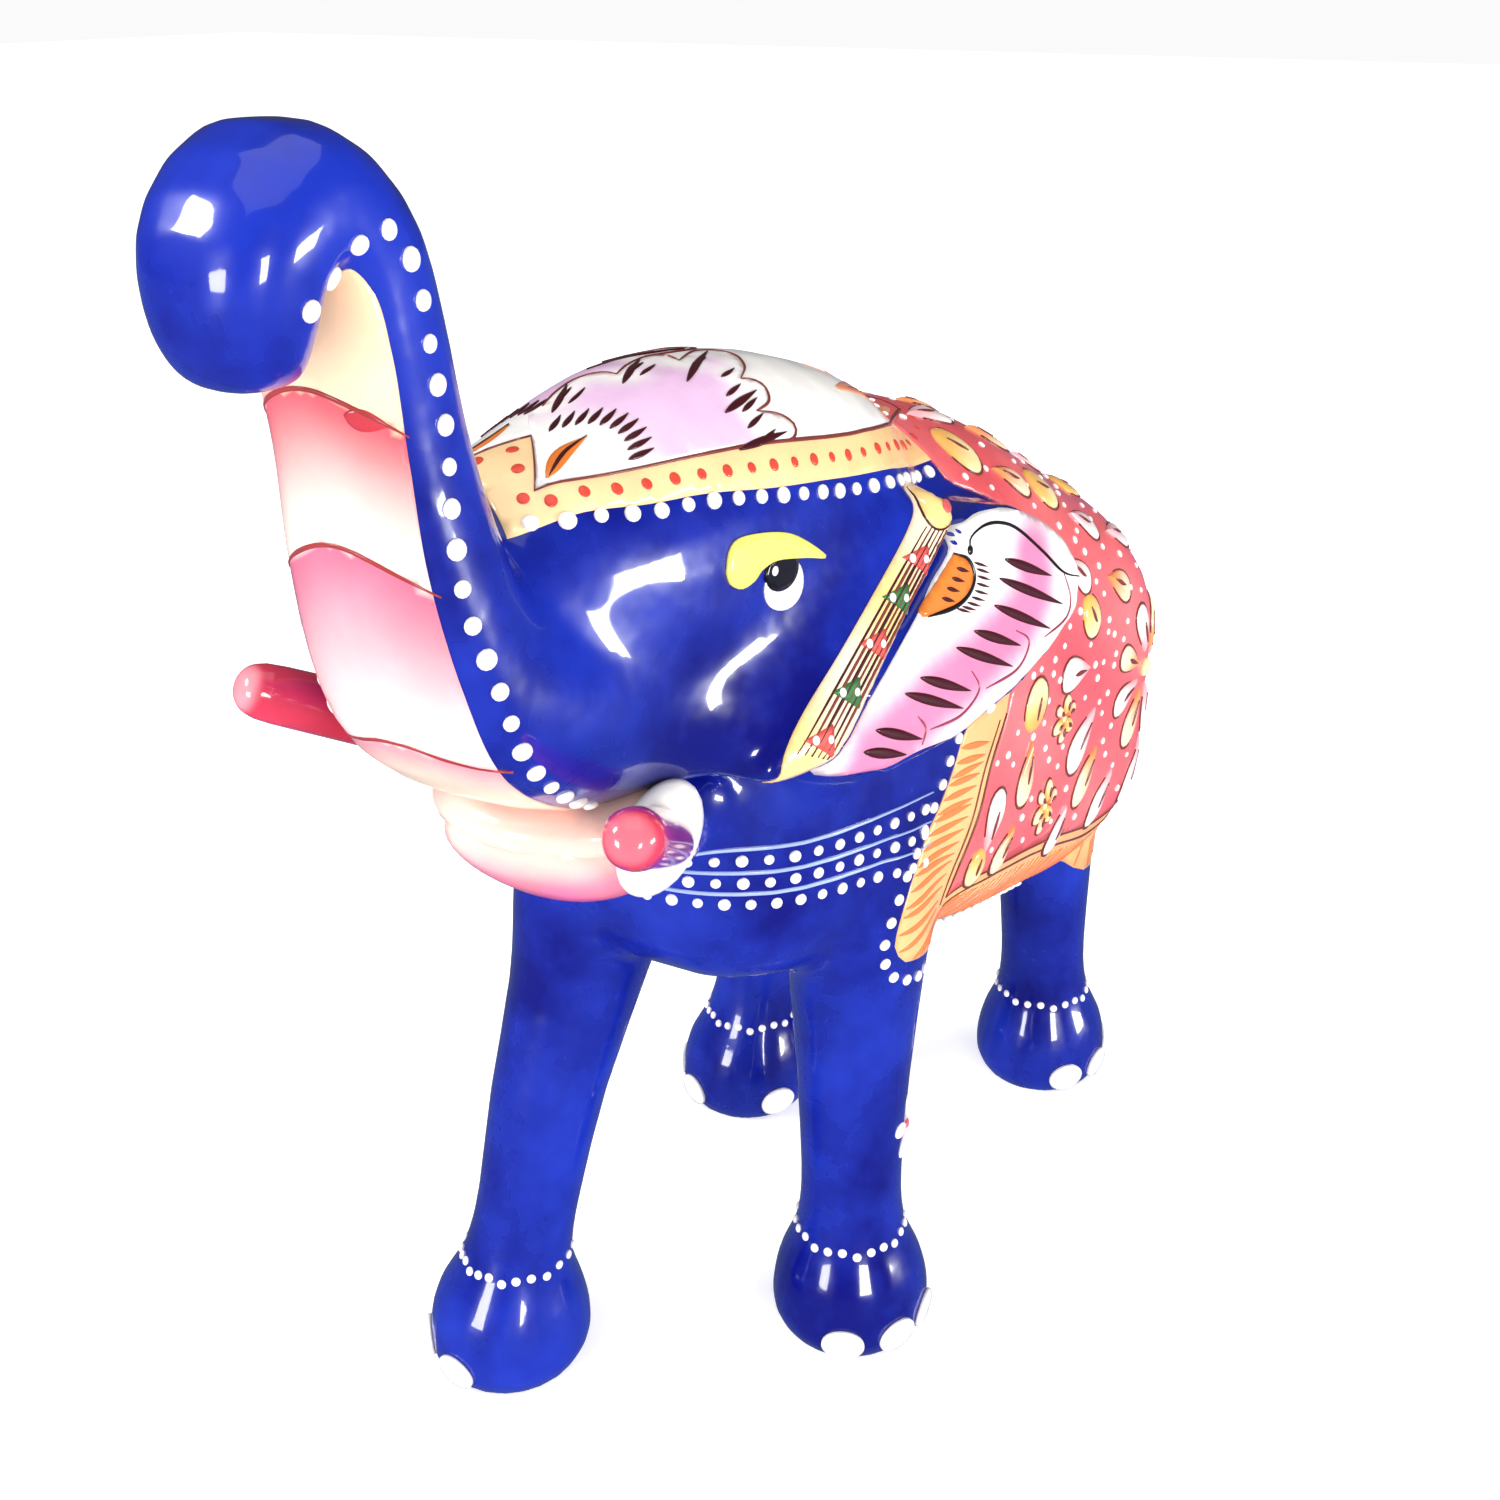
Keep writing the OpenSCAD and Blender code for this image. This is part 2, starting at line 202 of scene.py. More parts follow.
def brushed_coat():
    """Hand-brushed paint: cloudy colour, faint brush streaks and an uneven, wavy gloss."""
    group, given, out = new_group(
        "brushed_coat",
        [("Thin Colour", COLOUR, (1, 1, 1, 1)), ("Full Colour", COLOUR, (1, 1, 1, 1)),
         ("Patch Size", FLOAT, 60.0), ("Streak Size", FLOAT, 400.0),
         ("Streaks", FLOAT, 0.3), ("Wave", FLOAT, 0.1)],
        [("Colour", COLOUR), ("Roughness", FLOAT), ("Normal", VECTOR)],
    )
    nodes, link = group.nodes, group.links.new
    place = nodes.new("ShaderNodeTexCoord")
    patches = nodes.new("ShaderNodeTexNoise")
    patches.inputs["Detail"].default_value = 5
    patches.inputs["Roughness"].default_value = 0.62
    link(place.outputs["Object"], patches.inputs["Vector"])
    link(given.outputs["Patch Size"], patches.inputs["Scale"])
    spread = nodes.new("ShaderNodeMapRange")
    spread.inputs["From Min"].default_value = 0.38
    spread.inputs["From Max"].default_value = 0.66
    link(patches.outputs["Fac"], spread.inputs["Value"])
    stretch = nodes.new("ShaderNodeMapping")
    stretch.inputs["Scale"].default_value = (1, 0.18, 0.4)
    stretch.inputs["Rotation"].default_value = (0.5, 0.3, 0.2)
    link(place.outputs["Object"], stretch.inputs["Vector"])
    streaks = nodes.new("ShaderNodeTexNoise")
    streaks.inputs["Detail"].default_value = 3
    link(stretch.outputs["Vector"], streaks.inputs["Vector"])
    link(given.outputs["Streak Size"], streaks.inputs["Scale"])
    both = nodes.new("ShaderNodeMath")
    both.operation = "MULTIPLY_ADD"
    link(streaks.outputs["Fac"], both.inputs[0])
    link(given.outputs["Streaks"], both.inputs[1])
    link(spread.outputs["Result"], both.inputs[2])
    blend = nodes.new("ShaderNodeMix")
    blend.data_type = "RGBA"
    link(both.outputs["Value"], blend.inputs["Factor"])
    link(given.outputs["Thin Colour"], blend.inputs["A"])
    link(given.outputs["Full Colour"], blend.inputs["B"])
    link(blend.outputs["Result"], out.inputs["Colour"])
    gloss = nodes.new("ShaderNodeMapRange")
    gloss.inputs["To Min"].default_value = 0.34
    gloss.inputs["To Max"].default_value = 0.22
    link(both.outputs["Value"], gloss.inputs["Value"])
    link(gloss.outputs["Result"], out.inputs["Roughness"])
    wave = nodes.new("ShaderNodeTexNoise")
    wave.inputs["Scale"].default_value = 170
    wave.inputs["Detail"].default_value = 2
    link(place.outputs["Object"], wave.inputs["Vector"])
    bump = nodes.new("ShaderNodeBump")
    bump.inputs["Distance"].default_value = 0.001
    link(given.outputs["Wave"], bump.inputs["Strength"])
    link(wave.outputs["Fac"], bump.inputs["Height"])
    link(bump.outputs["Normal"], out.inputs["Normal"])
    return group


BRUSHED = brushed_coat()


def brushed_material(name, thin, full, patch=60.0, streak=400.0, streaks=0.3, wave=0.1,
                     coat=1.0, coat_rough=0.06):
    """Glossy lacquer of one colour over wood."""
    material, tree, shader = new_material(name)
    paint = group_node(
        tree, BRUSHED,
        **{"Thin Colour": (*thin, 1), "Full Colour": (*full, 1), "Patch Size": patch,
           "Streak Size": streak, "Streaks": streaks, "Wave": wave},
    )
    tree.links.new(paint.outputs["Colour"], shader.inputs["Base Color"])
    tree.links.new(paint.outputs["Roughness"], shader.inputs["Roughness"])
    tree.links.new(paint.outputs["Normal"], shader.inputs["Normal"])
    shader.inputs["Specular IOR Level"].default_value = 0.3
    shader.inputs["Coat Weight"].default_value = coat
    shader.inputs["Coat Roughness"].default_value = coat_rough
    return material


# ---------------------------------------------------------------- the carved block

BODY_VOXEL = 0.45 * MM


def remeshed_copy(node, name, voxel):
    """The CAD solid as an even, fine mesh that can be rounded and carved."""
    piece = bpy.data.objects.new(name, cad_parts[node].data.copy())
    bpy.context.scene.collection.objects.link(piece)
    step = piece.modifiers.new("even", "REMESH")
    step.mode = "VOXEL"
    step.voxel_size = voxel
    step.use_smooth_shade = True
    graph = bpy.context.evaluated_depsgraph_get()
    even = bpy.data.meshes.new_from_object(piece.evaluated_get(graph))
    piece.modifiers.clear()
    piece.data = even
    even.materials.clear()
    return piece


def vertex_places(mesh):
    """The mesh's vertices as rows of x, y, z."""
    flat = np.empty(len(mesh.vertices) * 3, np.float32)
    mesh.vertices.foreach_get("co", flat)
    return flat.reshape(-1, 3).astype(float)


def set_places(mesh, places):
    """Moves the mesh's vertices to the given rows of x, y, z."""
    mesh.vertices.foreach_set("co", places.astype(np.float32).ravel())
    mesh.update()


def relax(places, edges, rounds, weight):
    """Rounds a mesh off: each vertex moves towards its neighbours' middle, as far as its weight says."""
    count = len(places)
    a, b = edges[:, 0], edges[:, 1]
    degree = np.bincount(a, minlength=count) + np.bincount(b, minlength=count)
    for _ in range(rounds):
        total = np.empty_like(places)
        for axis in range(3):
            line = places[:, axis]
            total[:, axis] = np.bincount(a, line[b], count) + np.bincount(b, line[a], count)
        places = places + weight[:, None] * (total / degree[:, None] - places)
    return places


def fade(distance, inner, outer):
    """1 inside the inner distance, 0 beyond the outer one, smooth between."""
    t = np.clip((outer - distance) / (outer - inner), 0, 1)
    return t * t * (3 - 2 * t)


def distance_to_path(places, path):
    """Each vertex's distance from a line through the path's points."""
    best = np.full(len(places), np.inf)
    for start, end in zip(path, path[1:]):
        start, end = np.array(start, float), np.array(end, float)
        along = end - start
        t = np.clip((places - start) @ along / (along @ along), 0, 1)
        best = np.minimum(best, np.linalg.norm(places - start - t[:, None] * along, axis=1))
    return best


# Where two carved forms flow into each other: points in design millimetres, and how far the blend reaches
BLENDS = [
    ([(-12, -38, 58), (-14, -26, 60), (-16, -14, 62)], 11),
    ([(12, -28, 58), (16, -14, 58), (20, -4, 62)], 10),
    ([(-10, 16, 50), (-14, 30, 50), (-16, 44, 52)], 10),
    ([(12, 30, 50), (18, 42, 50), (18, 54, 54)], 10),
    ([(-10, -61, 114), (0, -62, 117), (10, -61, 114)], 5),
    ([(-11.5, -61, 107), (-12.5, -59, 101), (-14, -55, 96), (-14, -48, 90)], 11),
    ([(11.5, -61, 107), (12.5, -59, 101), (14, -55, 96), (14, -48, 90)], 11),
    ([(-19, -19, 107), (-19.5, -28, 102), (-18.5, -38, 96), (-18, -47, 91)], 8),
    ([(19, -19, 107), (19.5, -28, 102), (18.5, -38, 96), (18, -47, 91)], 8),
    ([(-20, -48, 88), (-20, -42, 84), (-20, -30, 81)], 5),
    ([(20, -48, 88), (20, -42, 84), (20, -30, 81)], 5),
    ([(-12, 4, 112), (0, 8, 112), (12, 4, 112)], 11),
    ([(-20, -38, 76), (0, -40, 78), (20, -38, 76)], 6),
]


# The cheek rises to meet the ear band: the band's front edge as y, z, and how fast the rise falls away
BAND_TOP, BAND_TIP = (-12, 107), (-46, 86.5)
CHEEK_FALL = 0.3


def fill_cheek(places):
    """Brings the cheek out to the front edge of each ear band, so the two meet without a ditch."""
    along = np.subtract(BAND_TIP, BAND_TOP)
    length = np.linalg.norm(along)
    along = along / length
    ahead = np.array([along[1], -along[0]])
    flat = places[:, 1:] - np.array(BAND_TOP)
    down, away = flat @ along, flat @ ahead
    level = 21 + 0.16 * (places[:, 1] + 8) - 0.25 * (places[:, 2] - 105) - 0.2
    target = level - CHEEK_FALL * np.maximum(away, 0) - 0.012 * np.maximum(away, 0) ** 2
    weight = fade(np.abs(away - 6), 6, 10) * fade(np.abs(down - length / 2), length / 2 - 6, length / 2 + 3)
    outer = np.abs(places[:, 0])
    weight = weight * (outer > 9)
    grown = outer + weight * np.maximum(target - outer, 0)
    places[:, 0] = np.sign(places[:, 0]) * np.maximum(grown, outer)
    return places


def make_body():
    """The carved block: evened out, its junctions blended like whittled wood, its edges softened."""
    piece = remeshed_copy("carved_body", "elephant_block", BODY_VOXEL)
    mesh = piece.data
    places = vertex_places(mesh) / MM - np.array(STANCE)
    edges = np.empty(len(mesh.edges) * 2, np.int32)
    mesh.edges.foreach_get("vertices", edges)
    edges = edges.reshape(-1, 2)
    places = fill_cheek(places)
    blend = np.zeros(len(places))
    for path, reach in BLENDS:
        blend = np.maximum(blend, fade(distance_to_path(places, path), reach * 0.5, reach))
    sole = places[:, 2] < 0.6
    places_kept = places[sole, 2].copy()
    places = relax(places, edges, 6, np.full(len(places), 0.5))
    places = relax(places, edges, 130, 0.65 * blend)
    places[sole, 2] = np.maximum(places_kept, 0)
    set_places(mesh, (places + np.array(STANCE)) * MM)
    mesh.polygons.foreach_set("use_smooth", [True] * len(mesh.polygons))
    mesh.materials.append(brushed_material(
        "blue_lacquer", (0.003, 0.024, 0.4), (0.0006, 0.0016, 0.14), patch=36, streaks=0.3, wave=0.2))
    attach(piece, "root")
    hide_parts("carved_body")
    return piece


# ---------------------------------------------------------------- paint and enamel laid on the block


def rgb(red, green, blue):
    """A colour given as it looks on screen, turned linear."""
    def linear(value):
        value = value / 255
        return value / 12.92 if value <= 0.04045 else ((value + 0.055) / 1.055) ** 2.4
    return (linear(red), linear(green), linear(blue))


WHITE = rgb(250, 246, 242)
CREAM = rgb(252, 226, 196)
PINK = rgb(228, 120, 152)
SALMON = rgb(222, 84, 92)
ORANGE = rgb(240, 168, 92)
DEEP_ORANGE = rgb(222, 120, 40)
YELLOW = rgb(246, 206, 132)
LEMON = rgb(240, 232, 110)
MAROON = rgb(66, 14, 22)
LINE_BROWN = rgb(120, 52, 48)
BLACK = rgb(14, 10, 14)
RED_DOT = rgb(214, 70, 52)
LEAF_GREEN = rgb(52, 118, 60)
LILAC = rgb(232, 192, 226)
SKY_LINE = rgb(150, 168, 222)


def mix(first, second, share):
    """The colour that lies this share of the way from the first to the second."""
    share = min(max(share, 0), 1)
    return tuple(a + (b - a) * share for a, b in zip(first, second))


def soft(value, low, high):
    """0 below low, 1 above high, smooth between."""
    t = min(max((value - low) / (high - low), 0), 1)
    return t * t * (3 - 2 * t)


class Skin:
    """The finished block's surface, asked in design millimetres."""

    def __init__(self, piece):
        mesh = piece.data
        places = vertex_places(mesh) / MM - np.array(STANCE)
        corners = np.empty(len(mesh.loops), np.int32)
        mesh.loops.foreach_get("vertex_index", corners)
        starts = np.empty(len(mesh.polygons), np.int32)
        mesh.polygons.foreach_get("loop_start", starts)
        ends = np.append(starts[1:], len(corners))
        self.faces = [corners[a:b].tolist() for a, b in zip(starts, ends)]
        self.tree = BVHTree.FromPolygons(places.tolist(), self.faces)
        normals = np.empty(len(mesh.vertices) * 3, np.float32)
        mesh.vertices.foreach_get("normal", normals)
        self.normals = normals.reshape(-1, 3)

    def cast(self, start, direction):
        """Where a line from a point leaves or meets the surface, with the way the surface faces."""
        place, _, face, _ = self.tree.ray_cast(Vector(start), Vector(direction))
        if place is None:
            place, _, face, _ = self.tree.find_nearest(Vector(start) + Vector(direction).normalized() * 20)
        facing = Vector(self.normals[self.faces[face]].mean(axis=0).tolist()).normalized()
        return place, facing


# Charts: each turns a pair of millimetre-like numbers into a place on the block.
# side is 1 for the elephant's left and -1 for its right.


def flank(skin, side=1):
    """Round the barrel of the body: along from the shoulders, then up from the widest line."""
    def chart(along, up):
        turn = up / 28
        if along <= 40:
            start, way = (0, along, 74), (math.cos(turn), 0, math.sin(turn))
        else:
            back = (along - 40) / 26
            start = (0, 40, 74)
            way = (math.cos(turn) * math.cos(back), math.sin(back), math.sin(turn) * math.cos(back))
        return skin.cast((side * start[0], start[1], start[2]), (side * way[0], way[1], way[2]))
    return chart


def crown(skin, side=1):
    """Over the head: along the body, then up round the head from its widest line."""
    def chart(along, up):
        turn = up / 20
        return skin.cast((0, along, 98), (side * math.cos(turn), 0, math.sin(turn)))
    return chart


def profile(skin, side=1, start=60):
    """Straight in from one side: along the body and up."""
    return lambda along, up: skin.cast((side * start, along, up), (-side, 0, 0))


def chest(skin):
    """Round the breast: degrees from straight ahead towards the left, and height."""
    def chart(turn, up):
        turn = math.radians(turn)
        return skin.cast((0, -12, up), (math.sin(turn), -math.cos(turn), 0))
    return chart


def around(skin, x, y):
    """Round an upright leg: degrees from straight ahead towards the left, and height."""
    def chart(turn, up):
        turn = math.radians(turn)
        return skin.cast((x, y, up), (math.sin(turn), -math.cos(turn), 0))
    return chart


def globe(skin, centre):
    """Out from a point in every direction: degrees to the left and degrees up."""
    def chart(turn, rise):
        turn, rise = math.radians(turn), math.radians(rise)
        way = (math.sin(turn) * math.cos(rise), -math.cos(turn) * math.cos(rise), math.sin(rise))
        return skin.cast(centre, way)
    return chart


# The middle of the trunk from mouth to tip: y, z and its lean from upright in degrees
TRUNK_LINE = [
    (-44, 92, 80), (-54, 95, 60), (-63, 99.5, 38), (-68, 106, 14), (-71, 115, 5), (-72.5, 124, 6),
    (-74, 132, 12), (-76, 138, 40), (-80, 141.6, 90), (-84, 138.8, 140)
]


def curve_point(keys, place):
    """A point on the smooth curve through the keys; whole numbers are the keys themselves."""
    i = min(max(int(math.floor(place)), 0), len(keys) - 2)
    t = place - i
    a, b = keys[max(i - 1, 0)], keys[i]
    c, d = keys[i + 1], keys[min(i + 2, len(keys) - 1)]
    return tuple(
        0.5 * (2 * q + (r - p) * t + (2 * p - 5 * q + 4 * r - s) * t * t + (3 * q - p - 3 * r + s) * t ** 3)
        for p, q, r, s in zip(a, b, c, d))


def underside(skin):
    """Up the front of the trunk: station along it, and degrees round from straight ahead."""
    def chart(station, turn):
        y, z, lean = curve_point(TRUNK_LINE, station)
        lean, turn = math.radians(lean), math.radians(turn)
        front = Vector((0, -math.cos(lean), -math.sin(lean)))
        return skin.cast((0, y, z), front * math.cos(turn) + Vector((math.sin(turn), 0, 0)))
    return chart


def smooth_path(points, step, closed=False):
    """The smooth curve through the points, cut into even steps."""
    keys = list(points) + [points[0]] if closed else list(points)
    fine = [curve_point(keys, k / 12) for k in range(12 * (len(keys) - 1) + 1)]
    return even_path(fine, step)


def even_path(line, step):
    """The same path with its points spread at about equal steps."""
    lengths = [0]
    for a, b in zip(line, line[1:]):
        lengths.append(lengths[-1] + math.dist(a, b))
    count = max(2, round(lengths[-1] / step) + 1)
    spots = np.linspace(0, lengths[-1], count)
    return [tuple(np.interp(s, lengths, [p[i] for p in line]) for i in range(2)) for s in spots]


def spread_path(chart, path, gap):
    """Places on the path the given gap of millimetres apart, measured on the block."""
    places = [chart(*p)[0] for p in path]
    lengths = np.concatenate([[0], np.cumsum([(b - a).length for a, b in zip(places, places[1:])])])
    count = max(2, round(lengths[-1] / gap) + 1)
    spots = np.linspace(0, lengths[-1], count)
    return [tuple(np.interp(s, lengths, [p[i] for p in path]) for i in range(2)) for s in spots]


def inside(outline, point):
    """Whether a flat point lies within a flat outline."""
    x, y = point
    hit = False
    for (ax, ay), (bx, by) in zip(outline, outline[1:] + outline[:1]):
        if (ay > y) != (by > y) and x < (bx - ax) * (y - ay) / (by - ay) + ax:
            hit = not hit
    return hit


def ring_faces(rings, segments):
    """The faces that join rings of points into a closed solid, with a lid on each end."""
    faces = []
    for j in range(rings - 1):
        low, high = j * segments, (j + 1) * segments
        for k in range(segments):
            n = (k + 1) % segments
            faces.append((low + k, low + n, high + n, high + k))
    faces.append(tuple(range(segments - 1, -1, -1)))
    faces.append(tuple((rings - 1) * segments + k for k in range(segments)))
    return faces


class Coat:
    """Everything laid on the block in one kind of paint, gathered into one mesh."""

    def __init__(self):
        self.points, self.faces, self.colours = [], [], []

    def add(self, points, faces, colours):
        first = len(self.points)
        self.points += points
        self.faces += [tuple(first + k for k in face) for face in faces]
        self.colours += colours

    def dot(self, chart, spot, size, colour=WHITE, rise=0.3, lift=0.0, shape=(1, 1), spin=0, segments=14):
        """A bead of enamel, domed, with its foot in the surface; the shape stretches it."""
        place, facing = chart(*spot)
        across = Vector((0, 0, 1)).cross(facing)
        if across.length < 0.2:
            across = Vector((0, 1, 0)).cross(facing)
        across = across.normalized()
        over = facing.cross(across)
        points = []
        rings = [(1.0, -0.3), (1.0, 0.25), (0.88, 0.6), (0.6, 0.86), (0.28, 0.97)]
        for scale, height in rings:
            for k in range(segments):
                turn = 2 * math.pi * k / segments
                a = math.cos(turn) * shape[0] * size / 2 * scale
                b = math.sin(turn) * shape[1] * size / 2 * scale
                a, b = a * math.cos(spin) - b * math.sin(spin), a * math.sin(spin) + b * math.cos(spin)
                level = lift + height * rise * size if height > 0 else -0.25
                points.append(place + across * a + over * b + facing * level)
        self.add(points, ring_faces(len(rings), segments), [colour] * len(points))

    def stroke(self, chart, path, width, colour, lift=0.2, lens=False, thick=0.1):
        """A brush stroke along a path; a lens swells in the middle and ends in points."""
        samples = [chart(*p) for p in path]
        last = len(samples) - 1
        points = []
        for k, (place, facing) in enumerate(samples):
            along = (samples[min(k + 1, last)][0] - samples[max(k - 1, 0)][0]).normalized()
            across = facing.cross(along).normalized()
            t = k / last
            swell = math.sin(math.pi * min(max(0.04 + 0.92 * t ** 0.8, 0), 1)) if lens else 1
            end = min(1, 0.35 + 3 * min(k, last - k) / max(last, 1)) if not lens else 1
            half = width / 2 * swell * end
            for side, level in ((-1, lift - 0.35), (-1, lift), (-0.5, lift + thick), (0.5, lift + thick),
                                (1, lift), (1, lift - 0.35)):
                points.append(place + across * half * side + facing * level)
        self.add(points, ring_faces(len(samples), 6), [colour] * len(points))

    def patch(self, chart, outline, colour, lift=0.1, grid=1.1, depth=0.4):
        """A painted field: the outline filled in, laid on the block, with its edge sunk in it."""
        edge = list(outline)
        low = [min(p[i] for p in edge) for i in range(2)]
        high = [max(p[i] for p in edge) for i in range(2)]
        inner = []
        for row in range(int((high[1] - low[1]) / grid) + 1):
            for column in range(int((high[0] - low[0]) / grid) + 1):
                spot = (low[0] + (column + 0.5 * (row % 2)) * grid, low[1] + row * grid)
                if inside(edge, spot) and min(math.dist(spot, e) for e in edge) > 0.45 * grid:
                    inner.append(spot)
        count = len(edge)
        ring = [(k, (k + 1) % count) for k in range(count)]
        flat, _, tiles, _, _, _ = geometry.delaunay_2d_cdt(
            [Vector(p) for p in edge + inner], ring, [list(range(count))], 1, 1e-4)
        samples = [chart(p.x, p.y) for p in flat]
        shades = [colour(p.x, p.y) if callable(colour) else colour for p in flat]
        top = [place + facing * lift for place, facing in samples]
        base = [place + facing * (lift - depth) for place, facing in samples]
        size = len(flat)
        tiles = [tuple(tile) for tile in tiles]
        a, b, c = (top[k] for k in tiles[len(tiles) // 2][:3])
        if (b - a).cross(c - a).dot(samples[tiles[len(tiles) // 2][0]][1]) < 0:
            tiles = [tuple(reversed(tile)) for tile in tiles]
        sides = {}
        for tile in tiles:
            for p, q in zip(tile, tile[1:] + tile[:1]):
                sides[(p, q)] = True
        walls = [(q, p, p + size, q + size) for p, q in sides if (q, p) not in sides]
        faces = tiles + [tuple(k + size for k in reversed(tile)) for tile in tiles] + walls
        self.add(top + base, faces, shades + shades)

    def pad(self, chart, spot, turn, length, width, colours, rise=0.55, lift=0.12, blunt=False):
        """A raised petal of gesso: round at one end, pointed at the other, shaded along its length."""
        turn = math.radians(turn)
        segments = 22
        rings = [(1.0, -0.35), (1.0, 0.1), (0.93, 0.55), (0.75, 0.88), (0.45, 1.0), (0.15, 1.02)]
        points, shades = [], []
        for scale, height in rings:
            for k in range(segments):
                angle = 2 * math.pi * k / segments
                a, b = petal_edge(angle, length * scale, width * scale, blunt)
                u = spot[0] + a * math.cos(turn) - b * math.sin(turn)
                v = spot[1] + a * math.sin(turn) + b * math.cos(turn)
                place, facing = chart(u, v)
                level = lift + height * rise if height > 0 else -0.3
                points.append(place + facing * level)
                shades.append(mix(colours[0], colours[1], soft(a / length + 0.5, 0.15, 0.85)))
        self.add(points, ring_faces(len(rings), segments), shades)

    def make(self, name, material, nodes=(), slot="white_enamel"):
        """The gathered mesh as one piece riding the body."""
        mesh = bpy.data.meshes.new(name)
        mesh.from_pydata([((p + STANCE) * MM)[:] for p in self.points], [], self.faces)
        mesh.update()
        turn_outward(mesh)
        layer = mesh.color_attributes.new("paint", "FLOAT_COLOR", "POINT")
        flat = np.ones((len(self.colours), 4), np.float32)
        flat[:, :3] = np.array(self.colours, np.float32)
        layer.data.foreach_set("color", flat.ravel())
        mesh.polygons.foreach_set("use_smooth", [True] * len(mesh.polygons))
        mesh.materials.append(material)
        piece = bpy.data.objects.new(name, mesh)
        bpy.context.scene.collection.objects.link(piece)
        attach(piece, "root")
        if nodes:
            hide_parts(*nodes)
        return piece


def turn_outward(mesh):
    """Makes every closed bead and stroke face outward."""
    work = bmesh.new()
    work.from_mesh(mesh)
    bmesh.ops.recalc_face_normals(work, faces=work.faces)
    work.to_mesh(mesh)
    work.free()


def petal_edge(angle, length, width, blunt):
    """The outline of a drop lying along its length, its point forward."""
    narrow = 1 if blunt else abs(math.sin(angle / 2)) ** 1.3
    return length / 2 * math.cos(angle), width / 2 * math.sin(angle) * narrow


def paint_material(name, wave=0.08, rough=0.3, coat=0.6):
    """Hand-laid enamel whose colour is painted on the mesh."""
    material, tree, shader = new_material(name)
    tint = tree.nodes.new("ShaderNodeVertexColor")
    tint.layer_name = "paint"
    film = group_node(tree, BRUSHED, **{
        "Thin Colour": (0.86, 0.86, 0.86, 1), "Full Colour": (1, 1, 1, 1),
        "Patch Size": 120.0, "Streak Size": 500.0, "Streaks": 0.3, "Wave": wave})
    blend = tree.nodes.new("ShaderNodeMix")
    blend.data_type = "RGBA"
    blend.blend_type = "MULTIPLY"
    blend.inputs["Factor"].default_value = 1.0
    tree.links.new(tint.outputs["Color"], blend.inputs["A"])
    tree.links.new(film.outputs["Colour"], blend.inputs["B"])
    tree.links.new(blend.outputs["Result"], shader.inputs["Base Color"])
    tree.links.new(film.outputs["Normal"], shader.inputs["Normal"])
    shader.inputs["Roughness"].default_value = rough
    shader.inputs["Specular IOR Level"].default_value = 0.3
    shader.inputs["Coat Weight"].default_value = coat
    shader.inputs["Coat Roughness"].default_value = 0.08
    return material


# ---------------------------------------------------------------- head cloth


TOP = math.pi / 2 * 20
CLOTH_FRONT = [(-59.4, TOP), (-60.8, 29.8), (-62.4, 25.8)]
CLOTH_SIDE = [
    (-62.4, 25.8), (-58.2, 23.5), (-50.8, 20.3), (-44, 18.3), (-33.5, 15.4), (-19.4, 12.8),
    (-8, 11.2), (3.2, 10.1)
]
CLOTH_REAR = [(3.2, 10.1), (7, 11.4), (10, 14), (12.5, 18), (15, 24.5), (16, TOP)]
INNER_FRONT = [(-52.2, TOP), (-56.1, 28.4), (-58.2, 26.7)]
INNER_SIDE = [
    (-58.2, 26.7), (-52.2, 23.9), (-42.4, 21.1), (-34.3, 19.4), (-20.7, 16.9), (-9, 16.2),
    (0, 17.2), (11, 20.5)
]
INNER_REAR = [(11, 20.5), (12.6, 25), (13, TOP)]
SCALLOPS = [
    [(-31.5, 18.8), (-28.8, 18.4), (-27.4, 19.2), (-28.4, 20.6), (-31.3, 21.7)],
    [(-31.3, 21.7), (-28.4, 22), (-26.8, 23.4), (-27.2, 24.4), (-28.7, 24.9)],
    [(-28.7, 24.9), (-25.2, 26.2), (-22.4, 28.6), (-22.3, 30.4), (-25.4, 31), (-30.6, 29.8)],
    [(-30.6, 29.8), (-29.6, 31.4), (-30.4, 32.7), (-33.4, 32.7), (-37.8, 31.8)],
    [(-37.8, 31.8), (-37.4, 33.4), (-39, 34.9), (-42.5, 35), (-46, 34.2)],
]


def mirrored(path):
    """The path on the other side of the crown."""
    return [(along, 2 * TOP - up) for along, up in path]


def whole_round(front, side, rear):
    """A closed outline from its left half."""
    half = even_path(front, 1.2)[:-1] + smooth_path(side, 1.2)[:-1] + smooth_path(rear, 1.2)
    return half + mirrored(half[1:-1])[::-1]


def flower_outline():
    """The flower's corner and stem side, closed by its scallops."""
    edge = [(-51.8, 30.8), (-57.4, 26.8), (-52.2, 24.2), (-42.4, 21.4), (-34.5, 19.6)]
    for scallop in SCALLOPS:
        edge += smooth_path(scallop, 0.9)[:-1]
    return edge + [(-48, 34.4), (-50.5, 32.8)]


def flower_shade(along, up):
    """White heart and white scallop edges, lilac between."""
    corner = math.dist((along, up), (-56, 27))
    rim = min(math.dist((along, up), p) for scallop in SCALLOPS for p in scallop)
    return mix(WHITE, LILAC, min(soft(corner, 7, 13), soft(rim, 0.8, 4)))


